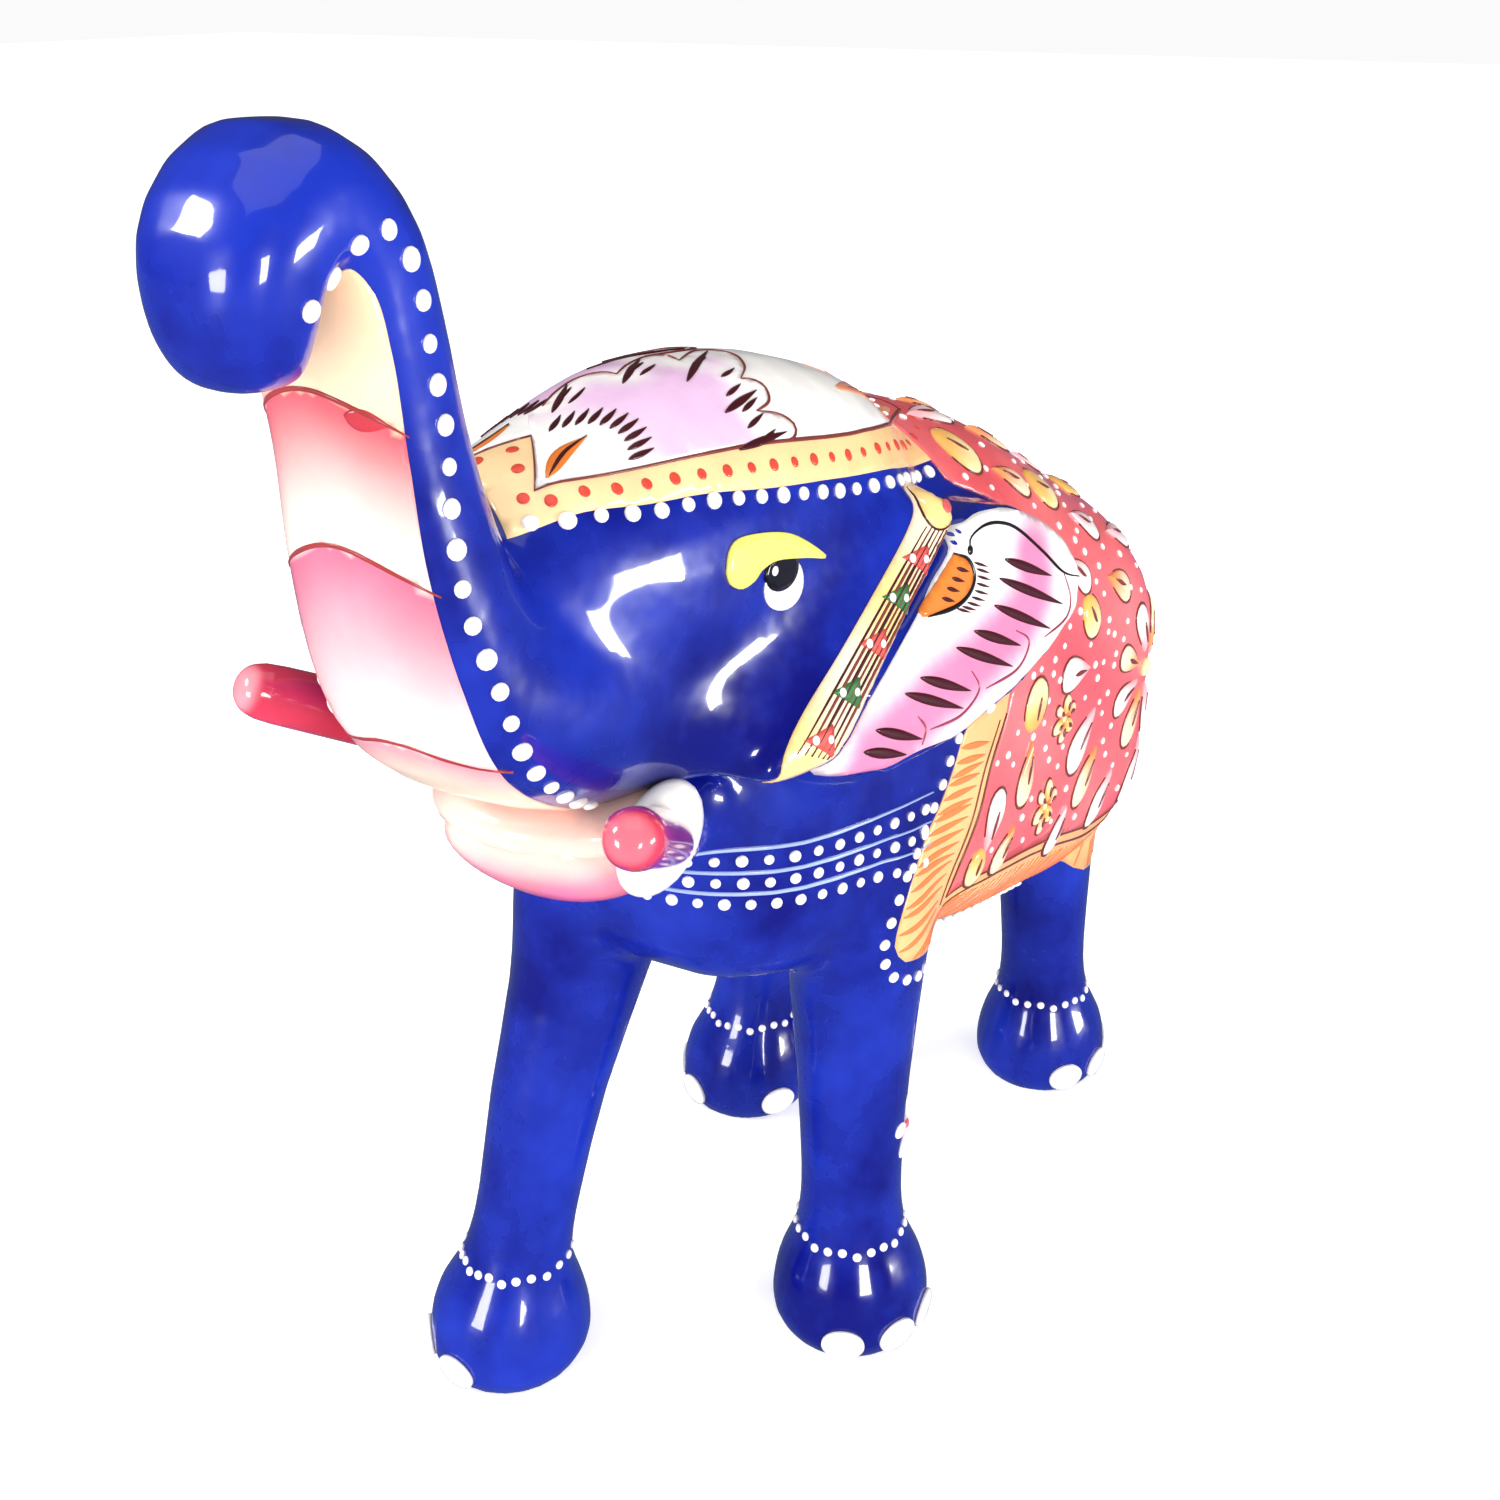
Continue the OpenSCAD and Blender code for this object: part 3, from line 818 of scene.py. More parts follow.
def petal_strokes(scallop):
    """A long dark stroke up the middle of a scallop with a short one on each side."""
    a, b = scallop[0], scallop[-1]
    tip = scallop[len(scallop) // 2]
    foot = ((a[0] + b[0]) / 2 - 5.5, (a[1] + b[1]) / 2 - 0.6)
    crest = (tip[0] - 1.8, tip[1] - 0.1)
    out = [(foot, crest, 0.8)]
    for end in (a, b):
        near = (foot[0] * 0.5 + crest[0] * 0.5 - 1.2, foot[1] * 0.45 + end[1] * 0.55)
        far = (near[0] + 3.6, near[1] + 0.5)
        out.append((near, far, 0.55))
    return out


def lay_flower(coat, chart, flip, keep_out):
    """The scalloped flower growing from the front corner of the cloth."""
    def turned(point):
        return (point[0], 2 * TOP - point[1]) if flip else point

    def free(point):
        return not keep_out or not inside(keep_out, point)

    outline = [turned(p) for p in flower_outline()]
    lift = 0.16 if flip else 0.2
    coat.patch(chart, outline, lambda y, t: flower_shade(*turned((y, t))), lift=lift, grid=0.8)
    for scallop in SCALLOPS:
        line = [turned(p) for p in smooth_path(scallop, 0.6)]
        if all(free(p) for p in line[1:-1]):
            coat.stroke(chart, line, 0.3, LINE_BROWN, lift=0.24, thick=0.06)
        for start, end, width in petal_strokes(scallop):
            line = [turned(p) for p in even_path([start, end], 0.5)]
            if all(free(p) for p in line):
                coat.stroke(chart, line, width, MAROON, lift=0.24, lens=True, thick=0.08)
    for k in range(10):
        turn = math.radians(-38 + 10.5 * k)
        near = (-55.5 + 8.2 * math.cos(turn), 26.6 + 4.6 * math.sin(turn))
        far = (near[0] + 3.2, near[1] + 0.9 * math.sin(turn) + 0.15)
        line = [turned(p) for p in even_path([near, far], 0.5)]
        if all(free(p) for p in line):
            coat.stroke(chart, line, 0.62, MAROON, lift=0.24, lens=True, thick=0.08)
    leaf = [turned(p) for p in smooth_path([(-56.8, 26.6), (-53.5, 27.5), (-50, 27.6)], 0.6)]
    coat.stroke(chart, leaf, 1.5, DEEP_ORANGE, lift=0.24, lens=True, thick=0.05)
    coat.stroke(chart, [(y + 0.3, t) for y, t in leaf], 0.4, MAROON, lift=0.3, lens=True, thick=0.06)


def border_shade(y, t):
    """The border of the head cloth: yellow, more orange toward the back."""
    return mix(mix(YELLOW, CREAM, 0.4), ORANGE, 0.45 + y / 160)


def make_head_cloth(skin, paint, bead):
    """The painted cloth over the head, with its border, flowers, leaves and beaded edge."""
    chart = crown(skin)
    coat = Coat()
    coat.patch(chart, whole_round(CLOTH_FRONT, CLOTH_SIDE, CLOTH_REAR), border_shade, lift=0.1)
    inner = whole_round(INNER_FRONT, INNER_SIDE, INNER_REAR)
    coat.patch(chart, inner, WHITE, lift=0.14)
    coat.stroke(chart, inner + inner[:2], 0.42, LINE_BROWN, lift=0.18, thick=0.07)
    lay_flower(coat, chart, True, flower_outline())
    lay_flower(coat, chart, False, None)
    for flip in (False, True):
        for tail, width in (((-10.5, 26.6), 2.6), ((-13.4, 21.4), 3.8)):
            leaf = smooth_path([(9.6, 22), ((9.6 + tail[0]) / 2, (22 + tail[1]) / 2 + 0.2), tail], 0.7)
            leaf = mirrored(leaf) if flip else leaf
            coat.stroke(chart, leaf, width, mix(ORANGE, PINK, 0.35), lift=0.17, lens=True, thick=0.05)
            coat.stroke(chart, leaf[5:-6], 0.35, LINE_BROWN, lift=0.24, lens=True, thick=0.05)
    row = [
        (-55, TOP), (-59.6, 26.4), (-56.5, 24.6), (-51.5, 22.2), (-43.4, 19.8), (-34, 17.4),
        (-20, 14.9), (-8, 13.8), (1, 13.7), (7, 15), (10.6, 18), (13.4, 24), (14.4, TOP)
    ]
    row = spread_path(chart, smooth_path(row, 0.6), 3.2)
    for k, spot in enumerate(row + mirrored(row[1:-1])):
        coat.dot(chart, spot, 1.15 + 0.2 * math.sin(3.1 * k), RED_DOT, rise=0.12, lift=0.1)
    coat.make("head_cloth", paint, slot="petal_enamel")
    edge = [
        (-60.2, 25.2), (-57.9, 23.1), (-50.5, 19.5), (-43.8, 17.6), (-31.7, 14.2), (-18.4, 11.3),
        (-6, 9.6), (1, 8.9)
    ]
    for name, flip in (("left", False), ("right", True)):
        beads = Coat()
        spots = spread_path(chart, smooth_path(edge, 0.6), 3.2)
        for k, spot in enumerate(mirrored(spots) if flip else spots):
            beads.dot(chart, spot, 1.45 + 0.15 * math.sin(2.3 * k), WHITE, shape=(1.1, 1))
        beads.make("head_cloth_beads_" + name, bead, ("head_cloth_dots_" + name,))


# ---------------------------------------------------------------- trunk, mouth and tusks


TRUNK_EDGE = [
    (0.5, 38), (1, 41), (2, 47), (3, 54), (4, 57), (5, 61), (6, 65), (7, 66), (7.7, 60), (8.0, 44)
]
BANDS = [2.45, 4.25, 5.7]
# The bands hang lower at the sides of the trunk, by this many stations
BAND_DROOP = 0.42


def trunk_shade(up, across):
    """Pink under each line, fading to cream before the next."""
    station, turn = up / 9, across / 0.14
    level = station + BAND_DROOP * (turn / 60) ** 2
    if level > BANDS[2]:
        return mix(rgb(246, 208, 172), rgb(240, 192, 150), soft(level, 6, 8))
    if level > BANDS[1]:
        return mix(rgb(208, 74, 88), rgb(250, 226, 214), soft((BANDS[2] - level) / 1.45, -0.1, 1.15))
    if level > BANDS[0]:
        return mix(rgb(214, 98, 128), rgb(250, 220, 216), soft((BANDS[1] - level) / 1.8, -0.1, 1.1))
    share = (BANDS[0] - level) / 1.9
    upper = mix(rgb(226, 118, 146), CREAM, soft(share, -0.1, 0.35))
    return mix(upper, rgb(214, 84, 108), soft(share, 0.4, 1))


def trunk_chart(skin):
    """The underside of the trunk, with a step along it as long as the same step across it."""
    base = underside(skin)
    return lambda up, across: base(up / 9, across / 0.14)


def make_trunk_paint(skin, paint, bead):
    """The pink bands under the trunk and the row of beads along each side."""
    chart = trunk_chart(skin)
    edge = [(9 * station, 0.14 * turn) for station, turn in TRUNK_EDGE]
    half = smooth_path(edge, 1.0)
    outline = half + [(up, -across) for up, across in reversed(half)]
    coat = Coat()
    coat.patch(chart, outline, trunk_shade, lift=0.12, grid=0.8)
    for band in BANDS:
        reach = next(turn for station, turn in TRUNK_EDGE if station >= band) - 1
        line = [(9 * (band - BAND_DROOP * (turn / 60) ** 2), 0.14 * turn)
                for turn in np.linspace(-reach, reach, 40)]
        coat.stroke(chart, line, 0.4, rgb(150, 52, 52), lift=0.15, thick=0.06)
    blot = [(9 * 5.48, 0.14 * 30), (9 * 5.42, 0.14 * 42), (9 * 5.36, 0.14 * 54)]
    coat.stroke(chart, smooth_path(blot, 0.4), 1.7, rgb(186, 52, 62), lift=0.15, lens=True, thick=0.03)
    coat.make("trunk_underside", paint, slot="petal_enamel")
    row = [
        (-84.3, 135.8), (-80.6, 138.4), (-79, 140.3), (-76.4, 139.8), (-74.4, 136.5), (-73.6, 131),
        (-72.6, 125), (-73.2, 119), (-73.2, 112), (-71.4, 105), (-69.6, 99), (-67, 95),
        (-62.5, 91), (-57, 87.6), (-52.6, 85.4)
    ]
    for name, side in (("left", 1), ("right", -1)):
        flat = profile(skin, side)
        beads = Coat()
        for k, spot in enumerate(spread_path(flat, smooth_path(row, 0.5), 3.1)):
            beads.dot(flat, spot, 1.6 + 0.2 * math.sin(1.9 * k), WHITE)
        beads.make("trunk_beads_" + name, bead, ("trunk_dots_" + name,))


def lay_mound(coat, centre, axis, radii, colour):
    """A rounded swelling: an egg lying along its axis."""
    long = Vector(axis).normalized()
    side = long.cross(Vector((0, 1, 0))).normalized()
    deep = side.cross(long)
    rows, columns = 14, 24
    points = []
    for j in range(1, rows):
        rise = math.pi * (j / rows - 0.5)
        for k in range(columns):
            turn = 2 * math.pi * k / columns
            points.append(Vector(centre) + long * radii[2] * math.sin(rise) + math.cos(rise)
                          * (side * radii[0] * math.cos(turn) + deep * radii[1] * math.sin(turn)))
    coat.add(points, ring_faces(rows - 1, columns), [colour] * len(points))


LIP_TOP = rgb(246, 200, 186)


def lip_shade(turn, rise):
    """Deep pink under the lip, paling upwards, the same all the way round."""
    under = mix(rgb(200, 60, 84), rgb(232, 126, 150), soft(rise, -45, -8))
    return mix(under, LIP_TOP, soft(rise, -10, 14))


def make_lip(skin, paint):
    """The painted lower lip and the white leaf round the foot of each tusk."""
    coat = Coat()
    chart = globe(skin, (0, -49, 80.6))
    coat.patch(chart, oval((0, -19), 84, 36, 71), lip_shade, lift=0.22, grid=3, depth=0.8)
    for side in (1, -1):
        lay_mound(coat, (side * 11.4, -51.1, 82.3), (side * 4.5, -3.6, 15), (3.3, 5.6, 6.4), WHITE)
    lay_mound(coat, (0, -51.4, 84.4), (1, 0, 0), (4.4, 10.4, 12.6), rgb(246, 202, 188))
    coat.make("lip_and_tusk_roots", paint, slot="petal_enamel")


# Each tusk, left 1 and right -1: where it leaves the wood, which way it points, how pale its end is painted,
# and how much of it is hidden in its hole. The pale end is partly a lighter tip colour and partly a painted
# highlight: on the right tusk it mostly stands for the reflection of the light on its glossy end.
TUSK_FOOT = {1: (12.3, -52.2, 83), -1: (-13.5, -52, 88)}
TUSK_WAY = {1: (0.363, -0.807, 0.467), -1: (-0.39, -0.8, 0.454)}
TIP_PALE_PAINT_AND_HIGHLIGHT = {1: 0.35, -1: 0.85}
TUSK_IN_WOOD = 7
# A tusk's outline: how far along from its hidden end, and its radius there
TUSK_OUTLINE = [
    (0, 2.4), (0.2, 3), (8, 3), (16, 2.9), (24, 2.75), (25.8, 2.62), (27.1, 2.2), (27.9, 1.4),
    (28.15, 0.6)
]


def make_tusk(name, side, paint):
    """A turned peg, let into the cheek, with a rounded end."""
    way = Vector(TUSK_WAY[side]).normalized()
    foot = Vector(TUSK_FOOT[side]) - way * TUSK_IN_WOOD
    across = way.cross(Vector((0, 0, 1))).normalized()
    over = across.cross(way)
    line = smooth_path(TUSK_OUTLINE[1:5], 1.2) + smooth_path(TUSK_OUTLINE[5:], 0.25)
    segments = 36
    coat = Coat()
    points, shades = [], []
    for reach, radius in line:
        # Darker red along the shaft and lighter towards the end; the end is then paled further, partly as a
        # painted highlight
        body = mix(rgb(168, 28, 46), rgb(210, 54, 80), soft(reach, 17, 25))
        shade = mix(body, rgb(246, 150, 160), soft(reach, 26.6, 27.8) * TIP_PALE_PAINT_AND_HIGHLIGHT[side])
        for k in range(segments):
            turn = 2 * math.pi * k / segments
            bump = 1 + 0.003 * math.sin(3 * turn)
            round_it = across * math.cos(turn) + over * math.sin(turn)
            points.append(foot + way * reach + round_it * radius * bump)
            shades.append(shade)
    coat.add(points, ring_faces(len(line), segments), shades)
    coat.make(name + "_peg", paint, (name,), slot="tusk_lacquer")


# ---------------------------------------------------------------- eyes


EYELID = [
    (-43.4, 106.6), (-42.6, 108.4), (-40.6, 109.2), (-35.2, 108.3), (-31.4, 106.5), (-28.4, 104.1),
    (-32, 105), (-36.2, 105.9), (-38.6, 105.6), (-39.7, 104.9), (-41.6, 104.6), (-43, 105.4)
]


def oval(centre, half_along, half_up, count=28):
    """The outline of an oval."""
    return [(centre[0] + half_along * math.cos(a), centre[1] + half_up * math.sin(a))
            for a in np.linspace(0, 2 * math.pi, count + 1)[:-1]]


def make_eye(skin, name, side, paint):
    """White, pupil, glint and heavy yellow lid."""
    chart = profile(skin, side)
    coat = Coat()
    coat.patch(chart, oval((-35.2, 103.3), 2.95, 2.5), WHITE, lift=0.14, grid=0.7)
    coat.patch(chart, oval((-35.5, 104.7), 2.55, 1.95), BLACK, lift=0.26, grid=0.7)
    coat.dot(chart, (-36.7, 105), 0.95, WHITE, rise=0.15, lift=0.24)
    coat.patch(chart, smooth_path(EYELID, 0.6, closed=True)[:-1], LEMON, lift=0.3, grid=0.7)
    coat.make(name + "_enamel", paint, (name,), slot="eye_enamel")


# ---------------------------------------------------------------- ears


FLAP_PAINT = [
    (-7, 101.3), (-3.2, 102.2), (0.9, 102), (5.8, 100.6), (10.4, 98.2), (14.6, 94.8), (16.8, 90.7),
    (14.6, 87.9), (7.8, 85.1), (-1.2, 83), (-7, 82.3), (-14.1, 81.5), (-21.3, 82.2), (-27.8, 82.5),
    (-33.4, 83.4), (-34.8, 84.6), (-33.8, 85.9), (-29, 88.8), (-24, 91.4), (-17.5, 94.9),
    (-13.4, 97.4), (-9.2, 99.6)
]
BAND_PAINT = [
    (-9, 106.8), (-12, 106.6), (-14.6, 104.8), (-19, 102.1), (-30, 95.9), (-38, 91.6), (-41.6, 89),
    (-42.4, 87), (-41.6, 85.6), (-37.4, 85.1), (-34.4, 86.5), (-29.3, 89.6), (-24, 93.2),
    (-19.3, 96.1), (-15.6, 98.6), (-10.6, 101.6), (-8, 103.2), (-7.6, 105.2)
]
BAND_LEAVES = [(-15.8, 100.6), (-20.4, 97.8), (-25.6, 94.6), (-31.2, 91.4), (-36.6, 88.4)]
FEATHER_LINE = [
    (6.5, 95.6), (6, 92.3), (2.5, 89.8), (-5, 88.2), (-9, 87.4), (-16, 86.6), (-20, 85.8),
    (-26, 84.6), (-29, 84.2)
]
FEATHERS = [
    (0.6, 96.6, 9.5, 92.4), (-1.1, 94.9, 10.9, 88.7), (-3, 92.4, 7.4, 86.8),
    (-7.7, 90.9, 0.7, 86.8), (-11.5, 90.2, -1.6, 85.1), (-18.8, 89.2, -10.4, 85.1),
    (-21.9, 88.5, -12.4, 83.8), (-27.8, 86.6, -20.6, 83.2), (-30.3, 85.2, -23.7, 82.6)
]
FEATHER_ARCS = [
    [(12.4, 91.8), (13, 88.9), (11.2, 86.9), (6, 86.2)],
    [(0.4, 88.6), (2.7, 86.7), (-0.6, 84.5), (-7.4, 84.4)],
    [(-9.5, 87), (-8.7, 84.7), (-12.9, 83.2), (-18.8, 83.6)],
    [(-20.5, 85.6), (-19.5, 84), (-20.7, 82.6)]
]
CURL = [
    (-5.7, 99.2), (-5.2, 100.4), (-2.3, 101), (0.8, 100.6), (4.2, 99.1), (8.7, 95.4), (12.3, 92.1),
    (15.6, 90.7)
]
HALF_FLOWER = [
    (-8.6, 99.5), (-6.4, 98.4), (-5.8, 96.4), (-7.4, 94.9), (-10.5, 94.3), (-15.5, 94.7),
    (-16.6, 95.5), (-12.5, 97.6)
]


PINK_SOFT = rgb(226, 126, 166)


def flap_shade(along, up):
    """Pink along the feathers, fading to white."""
    away = min(math.dist((along, up), p) for p in smooth_path(FEATHER_LINE, 2))
    return mix(PINK_SOFT, WHITE, soft(away, 1.6, 6.6))


def band_shade(along, up):
    """Yellow and cream by turns along the rolled band."""
    return mix(YELLOW, CREAM, 0.5 + 0.5 * math.sin(along * 0.35))


def make_ear(skin, name, side, paint):
    """The painted flap with its feathered edge, and the cloth band rolled along its front."""
    chart = profile(skin, side)
    coat = Coat()
    flap = smooth_path(FLAP_PAINT, 1, closed=True)[:-1]
    coat.patch(chart, flap, flap_shade, lift=0.2, grid=0.8, depth=0.8)
    for ay, az, by, bz in FEATHERS:
        coat.stroke(chart, even_path([(ay, az), (by, bz)], 0.5), 1.15, MAROON, lift=0.24, lens=True)
    for arc in FEATHER_ARCS:
        coat.stroke(chart, smooth_path(arc, 0.5), 0.32, rgb(150, 60, 84), lift=0.23, thick=0.06)
    coat.stroke(chart, smooth_path(CURL, 0.5), 0.42, BLACK, lift=0.24)
    coat.dot(chart, CURL[0], 1.1, BLACK, rise=0.15, lift=0.2)
    coat.patch(chart, smooth_path(HALF_FLOWER, 0.7, closed=True)[:-1], DEEP_ORANGE, lift=0.26, grid=0.8)
    coat.stroke(chart, smooth_path(HALF_FLOWER[:6], 0.5), 0.55, BLACK, lift=0.28)
    for k in range(4):
        start = (-8.9 - 1.2 * k, 98.1 - 0.75 * k)
        line = even_path([start, (start[0] + 2.1, start[1] - 0.95)], 0.35)
        coat.stroke(chart, line, 0.5, MAROON, lift=0.3, lens=True)
    for k in range(9):
        turn = math.radians(18 - 15 * k)
        near = (-9.3 + 4.1 * math.cos(turn), 96.9 + 2.9 * math.sin(turn))
        far = (near[0] + 2.4, near[1] - 1.1)
        coat.stroke(chart, even_path([near, far], 0.35), 0.36, MAROON, lift=0.24, lens=True)
    coat.make(name + "_flap_paint", paint, slot="petal_enamel")
    band = Coat()
    roll = smooth_path(BAND_PAINT, 0.9, closed=True)[:-1]
    band.patch(chart, roll, band_shade, lift=0.2, grid=0.8, depth=0.8)
    for k in range(6):
        share = 0.14 + 0.145 * k
        top = (-14.2 + 4.8 * share, 103.9 - 1.6 * share)
        foot = (-41.2 + 5.6 * share, 89 - 2.6 * share)
        colour = LINE_BROWN if k % 2 else MAROON
        band.stroke(chart, even_path([top, foot], 1), 0.3 + 0.08 * (k % 3), colour, lift=0.23, thick=0.05)
    knob = oval((-10.6, 104.7), 2.7, 1.9)
    band.patch(chart, knob, YELLOW, lift=0.3, grid=0.8)
    band.stroke(chart, knob + knob[:1], 0.26, MAROON, lift=0.28, thick=0.05)
    band.dot(chart, (-9.1, 104.7), 2.2, rgb(214, 92, 92), rise=0.1, lift=0.24, shape=(0.95, 0.7))
    for k, (y, z) in enumerate(BAND_LEAVES):
        tint = LEAF_GREEN if k % 2 else rgb(214, 84, 76)
        corners = [(y - 2.6, z + 1.1), (y + 1.8, z + 1.4), (y + 0.9, z - 1.7), (y - 2.6, z + 1.1)]
        band.patch(chart, even_path(corners, 0.6)[:-1], tint, lift=0.28, grid=0.6)
        band.dot(chart, (y - 1.2, z + 0.7), 1.0, WHITE, rise=0.25, lift=0.2)
        band.dot(chart, (y + 0.9, z + 0.1), 0.9, WHITE, rise=0.25, lift=0.2)
    band.make(name + "_band_paint", paint, slot="petal_enamel")


# ---------------------------------------------------------------- saddle cloth


SPINE = math.pi / 2 * 28
SADDLE_FRONT = [
    (1.5, SPINE), (2.5, 38), (3.4, 32.6), (3.2, 30), (6.7, 27.8), (10.5, 25.6), (14.6, 23),
    (18, 19.8), (19.8, 15.6), (17.4, 11.4), (9.5, 8.8), (1, 7.3), (-6, 6.4), (-8.2, 4.6),
    (-9.4, 1.7), (-11.7, -2.7), (-13.7, -5.5), (-16.6, -9.2), (-18.4, -12.5), (-19.8, -16),
    (-20, -18.6), (-18.2, -20)
]
SADDLE_FOOT = [
    (-18.2, -20), (-14, -20.6), (-4, -22.6), (10, -24), (24, -26), (34, -27.4), (42, -27.6),
    (52, -27.6), (61, -28.4)
]
SADDLE_REAR = [(61, -28.4), (64, -18), (64.5, 0), (63, 20), (60, 34), (59.5, SPINE)]
FIELD_FRONT = [
    (1.5, SPINE), (2.5, 38), (3.4, 32.6), (3.2, 30), (6.7, 27.8), (10.5, 25.6), (14.6, 23),
    (18, 19.8), (19.8, 15.6), (17.4, 11.2), (9.5, 8.4), (3.2, 7.2), (1.6, 4.2), (-1.2, -1.6),
    (-3.2, -7.8), (-6.2, -13.4), (-7.8, -17.4)
]
FIELD_FOOT = [(-7.8, -17.4), (0, -17), (10, -17.8), (24, -19.8), (36, -21.6), (48, -22.2), (57, -22.6)]
FIELD_REAR = [(57, -22.6), (59.5, -12), (60, 4), (58.8, 20), (56.4, 34), (56, SPINE)]
PETALS = [
    (8.6, -6.9, 78, 7.6, 4.6, 1), (25.7, -8.5, 42, 8.4, 5.4, 0), (9.8, 2, 255, 6.2, 5, 2),
    (0.4, -10.2, 250, 7.2, 4.4, 0), (4.4, -15.2, 48, 5.6, 3.4, 1), (-2.2, -15.4, 75, 4.2, 3.2, 2),
    (28.4, -13.9, 48, 7, 4.4, 1), (35.6, -18.4, 45, 6.4, 4, 0), (22, -18.6, 60, 5.2, 3.8, 0),
    (21.8, 2, -8, 7.6, 5, 0), (10.6, 32, 130, 5.4, 4.6, 2), (14.4, 37, 170, 7.6, 3.8, 0),
    (24.6, 33, 160, 7.6, 4.2, 1), (17.6, 27.1, 150, 6.4, 3.6, 1), (25.6, 24.6, 155, 6.2, 4.2, 2),
    (33.6, 18.4, 150, 7.2, 4.2, 0), (33.6, 29.4, 165, 7.4, 4, 0), (24.6, 14, 140, 6.6, 4, 0),
    (37, 9, 150, 7, 4.4, 1), (26.4, 8, 120, 5.6, 3.8, 2), (22, 41, 175, 7.4, 4.2, 1),
    (30, 42, 5, 7, 4, 0), (48, 42, 175, 6.6, 4, 0), (45, 14, 160, 7, 4.4, 0),
    (44, 24, 165, 7, 4.2, 2), (55, -18, 60, 6.4, 4, 1), (54, 12, 150, 6.6, 4.2, 2),
    (52, 22, 160, 6.4, 4, 1), (46, -18.6, 60, 6.4, 4, 0), (44, 34, 175, 7.4, 4, 1),
    (52, 34, 175, 6, 3.8, 0)
]
ROSETTE = (45.6, -5.4)
BLOSSOMS = [(15.6, -13.8), (19, -3.4), (37, 37.5)]
# The gesso spreads each petal a little longer and wider than it was marked out
PETAL_STRETCH, PETAL_SWELL = 1.14, 1.26
PETAL_COLOURS = [
    (rgb(250, 242, 236), rgb(236, 170, 176)), (rgb(250, 222, 186), rgb(234, 142, 84)),
    (rgb(250, 230, 170), rgb(236, 176, 90))
]


def over_spine(spot):
    """The same spot on the other flank."""
    return (spot[0], 2 * SPINE - spot[1])


def cloth_outline(front, foot, rear):
    """The whole outline of a cloth from its left half, closed over the spine."""
    half = smooth_path(front, 1.4)[:-1] + smooth_path(foot, 1.4)[:-1] + smooth_path(rear, 1.4)
    return half + [over_spine(p) for p in reversed(half[1:-1])]


def field_shade(along, up):
    """Salmon with deeper red clouds."""
    cloud = 0.5 + 0.5 * math.sin(along * 0.17 + 1.3 * math.sin(up * 0.13) + 0.4) * math.cos(up * 0.11 - 0.2)
    return mix(SALMON, rgb(236, 116, 118), cloud)


def lay_petal(coat, chart, along, up, turn, length, width, kind):
    """One embossed drop with its dark outline on the shadow side and a dark stroke within."""
    near, far = PETAL_COLOURS[kind]
    length, width = length * PETAL_STRETCH, width * PETAL_SWELL
    coat.pad(chart, (along, up), turn, length, width, (near, far), blunt=kind == 2)
    a = math.radians(turn)
    rim = []
    for k in range(15):
        x, y = petal_edge(math.radians(60 + 17 * k), length * 1.04, width * 1.06, kind == 2)
        rim.append((along + x * math.cos(a) - y * math.sin(a), up + x * math.sin(a) + y * math.cos(a)))
    coat.stroke(chart, rim, 0.36, LINE_BROWN, lift=0.24, lens=True, thick=0.1)
    stroke = [(along + (r * length) * math.cos(a), up + (r * length) * math.sin(a))
              for r in np.linspace(-0.16, 0.26, 7)]
    coat.stroke(chart, stroke, 0.7, LINE_BROWN, lift=0.7, lens=True, thick=0.1)


def lay_blossom(coat, chart, centre, radius, petals, length, width, kind):
    """Drops standing in a ring round a raised bead."""
    for k in range(petals):
        turn = 2 * math.pi * k / petals + 0.3
        spot = (centre[0] + radius * math.cos(turn), centre[1] + radius * math.sin(turn))
        lay_petal(coat, chart, *spot, math.degrees(turn) + 180, length, width, (kind + k % 2) % 3)
    coat.dot(chart, centre, width * 0.7, PETAL_COLOURS[2][0], rise=0.3, lift=0.2)


def lay_stripes(coat, chart, outer, inner, gap, colour):
    """Slanting stripes across a border, between its two edges."""
    count = int(max(len(outer), len(inner)) / gap)
    for k in range(1, count):
        a = outer[int(k / count * (len(outer) - 1))]
        b = inner[min(int((k + 0.9) / count * (len(inner) - 1)), len(inner) - 1)]
        start = (a[0] * 0.97 + b[0] * 0.03, a[1] * 0.97 + b[1] * 0.03)
        end = (a[0] * 0.14 + b[0] * 0.86, a[1] * 0.14 + b[1] * 0.86)
        coat.stroke(chart, even_path([start, end], 0.8), 0.85, colour, lift=0.13, lens=True, thick=0.04)


def shifted(path, along, up):
    """The path, moved."""
    return [(a + along, b + up) for a, b in path]


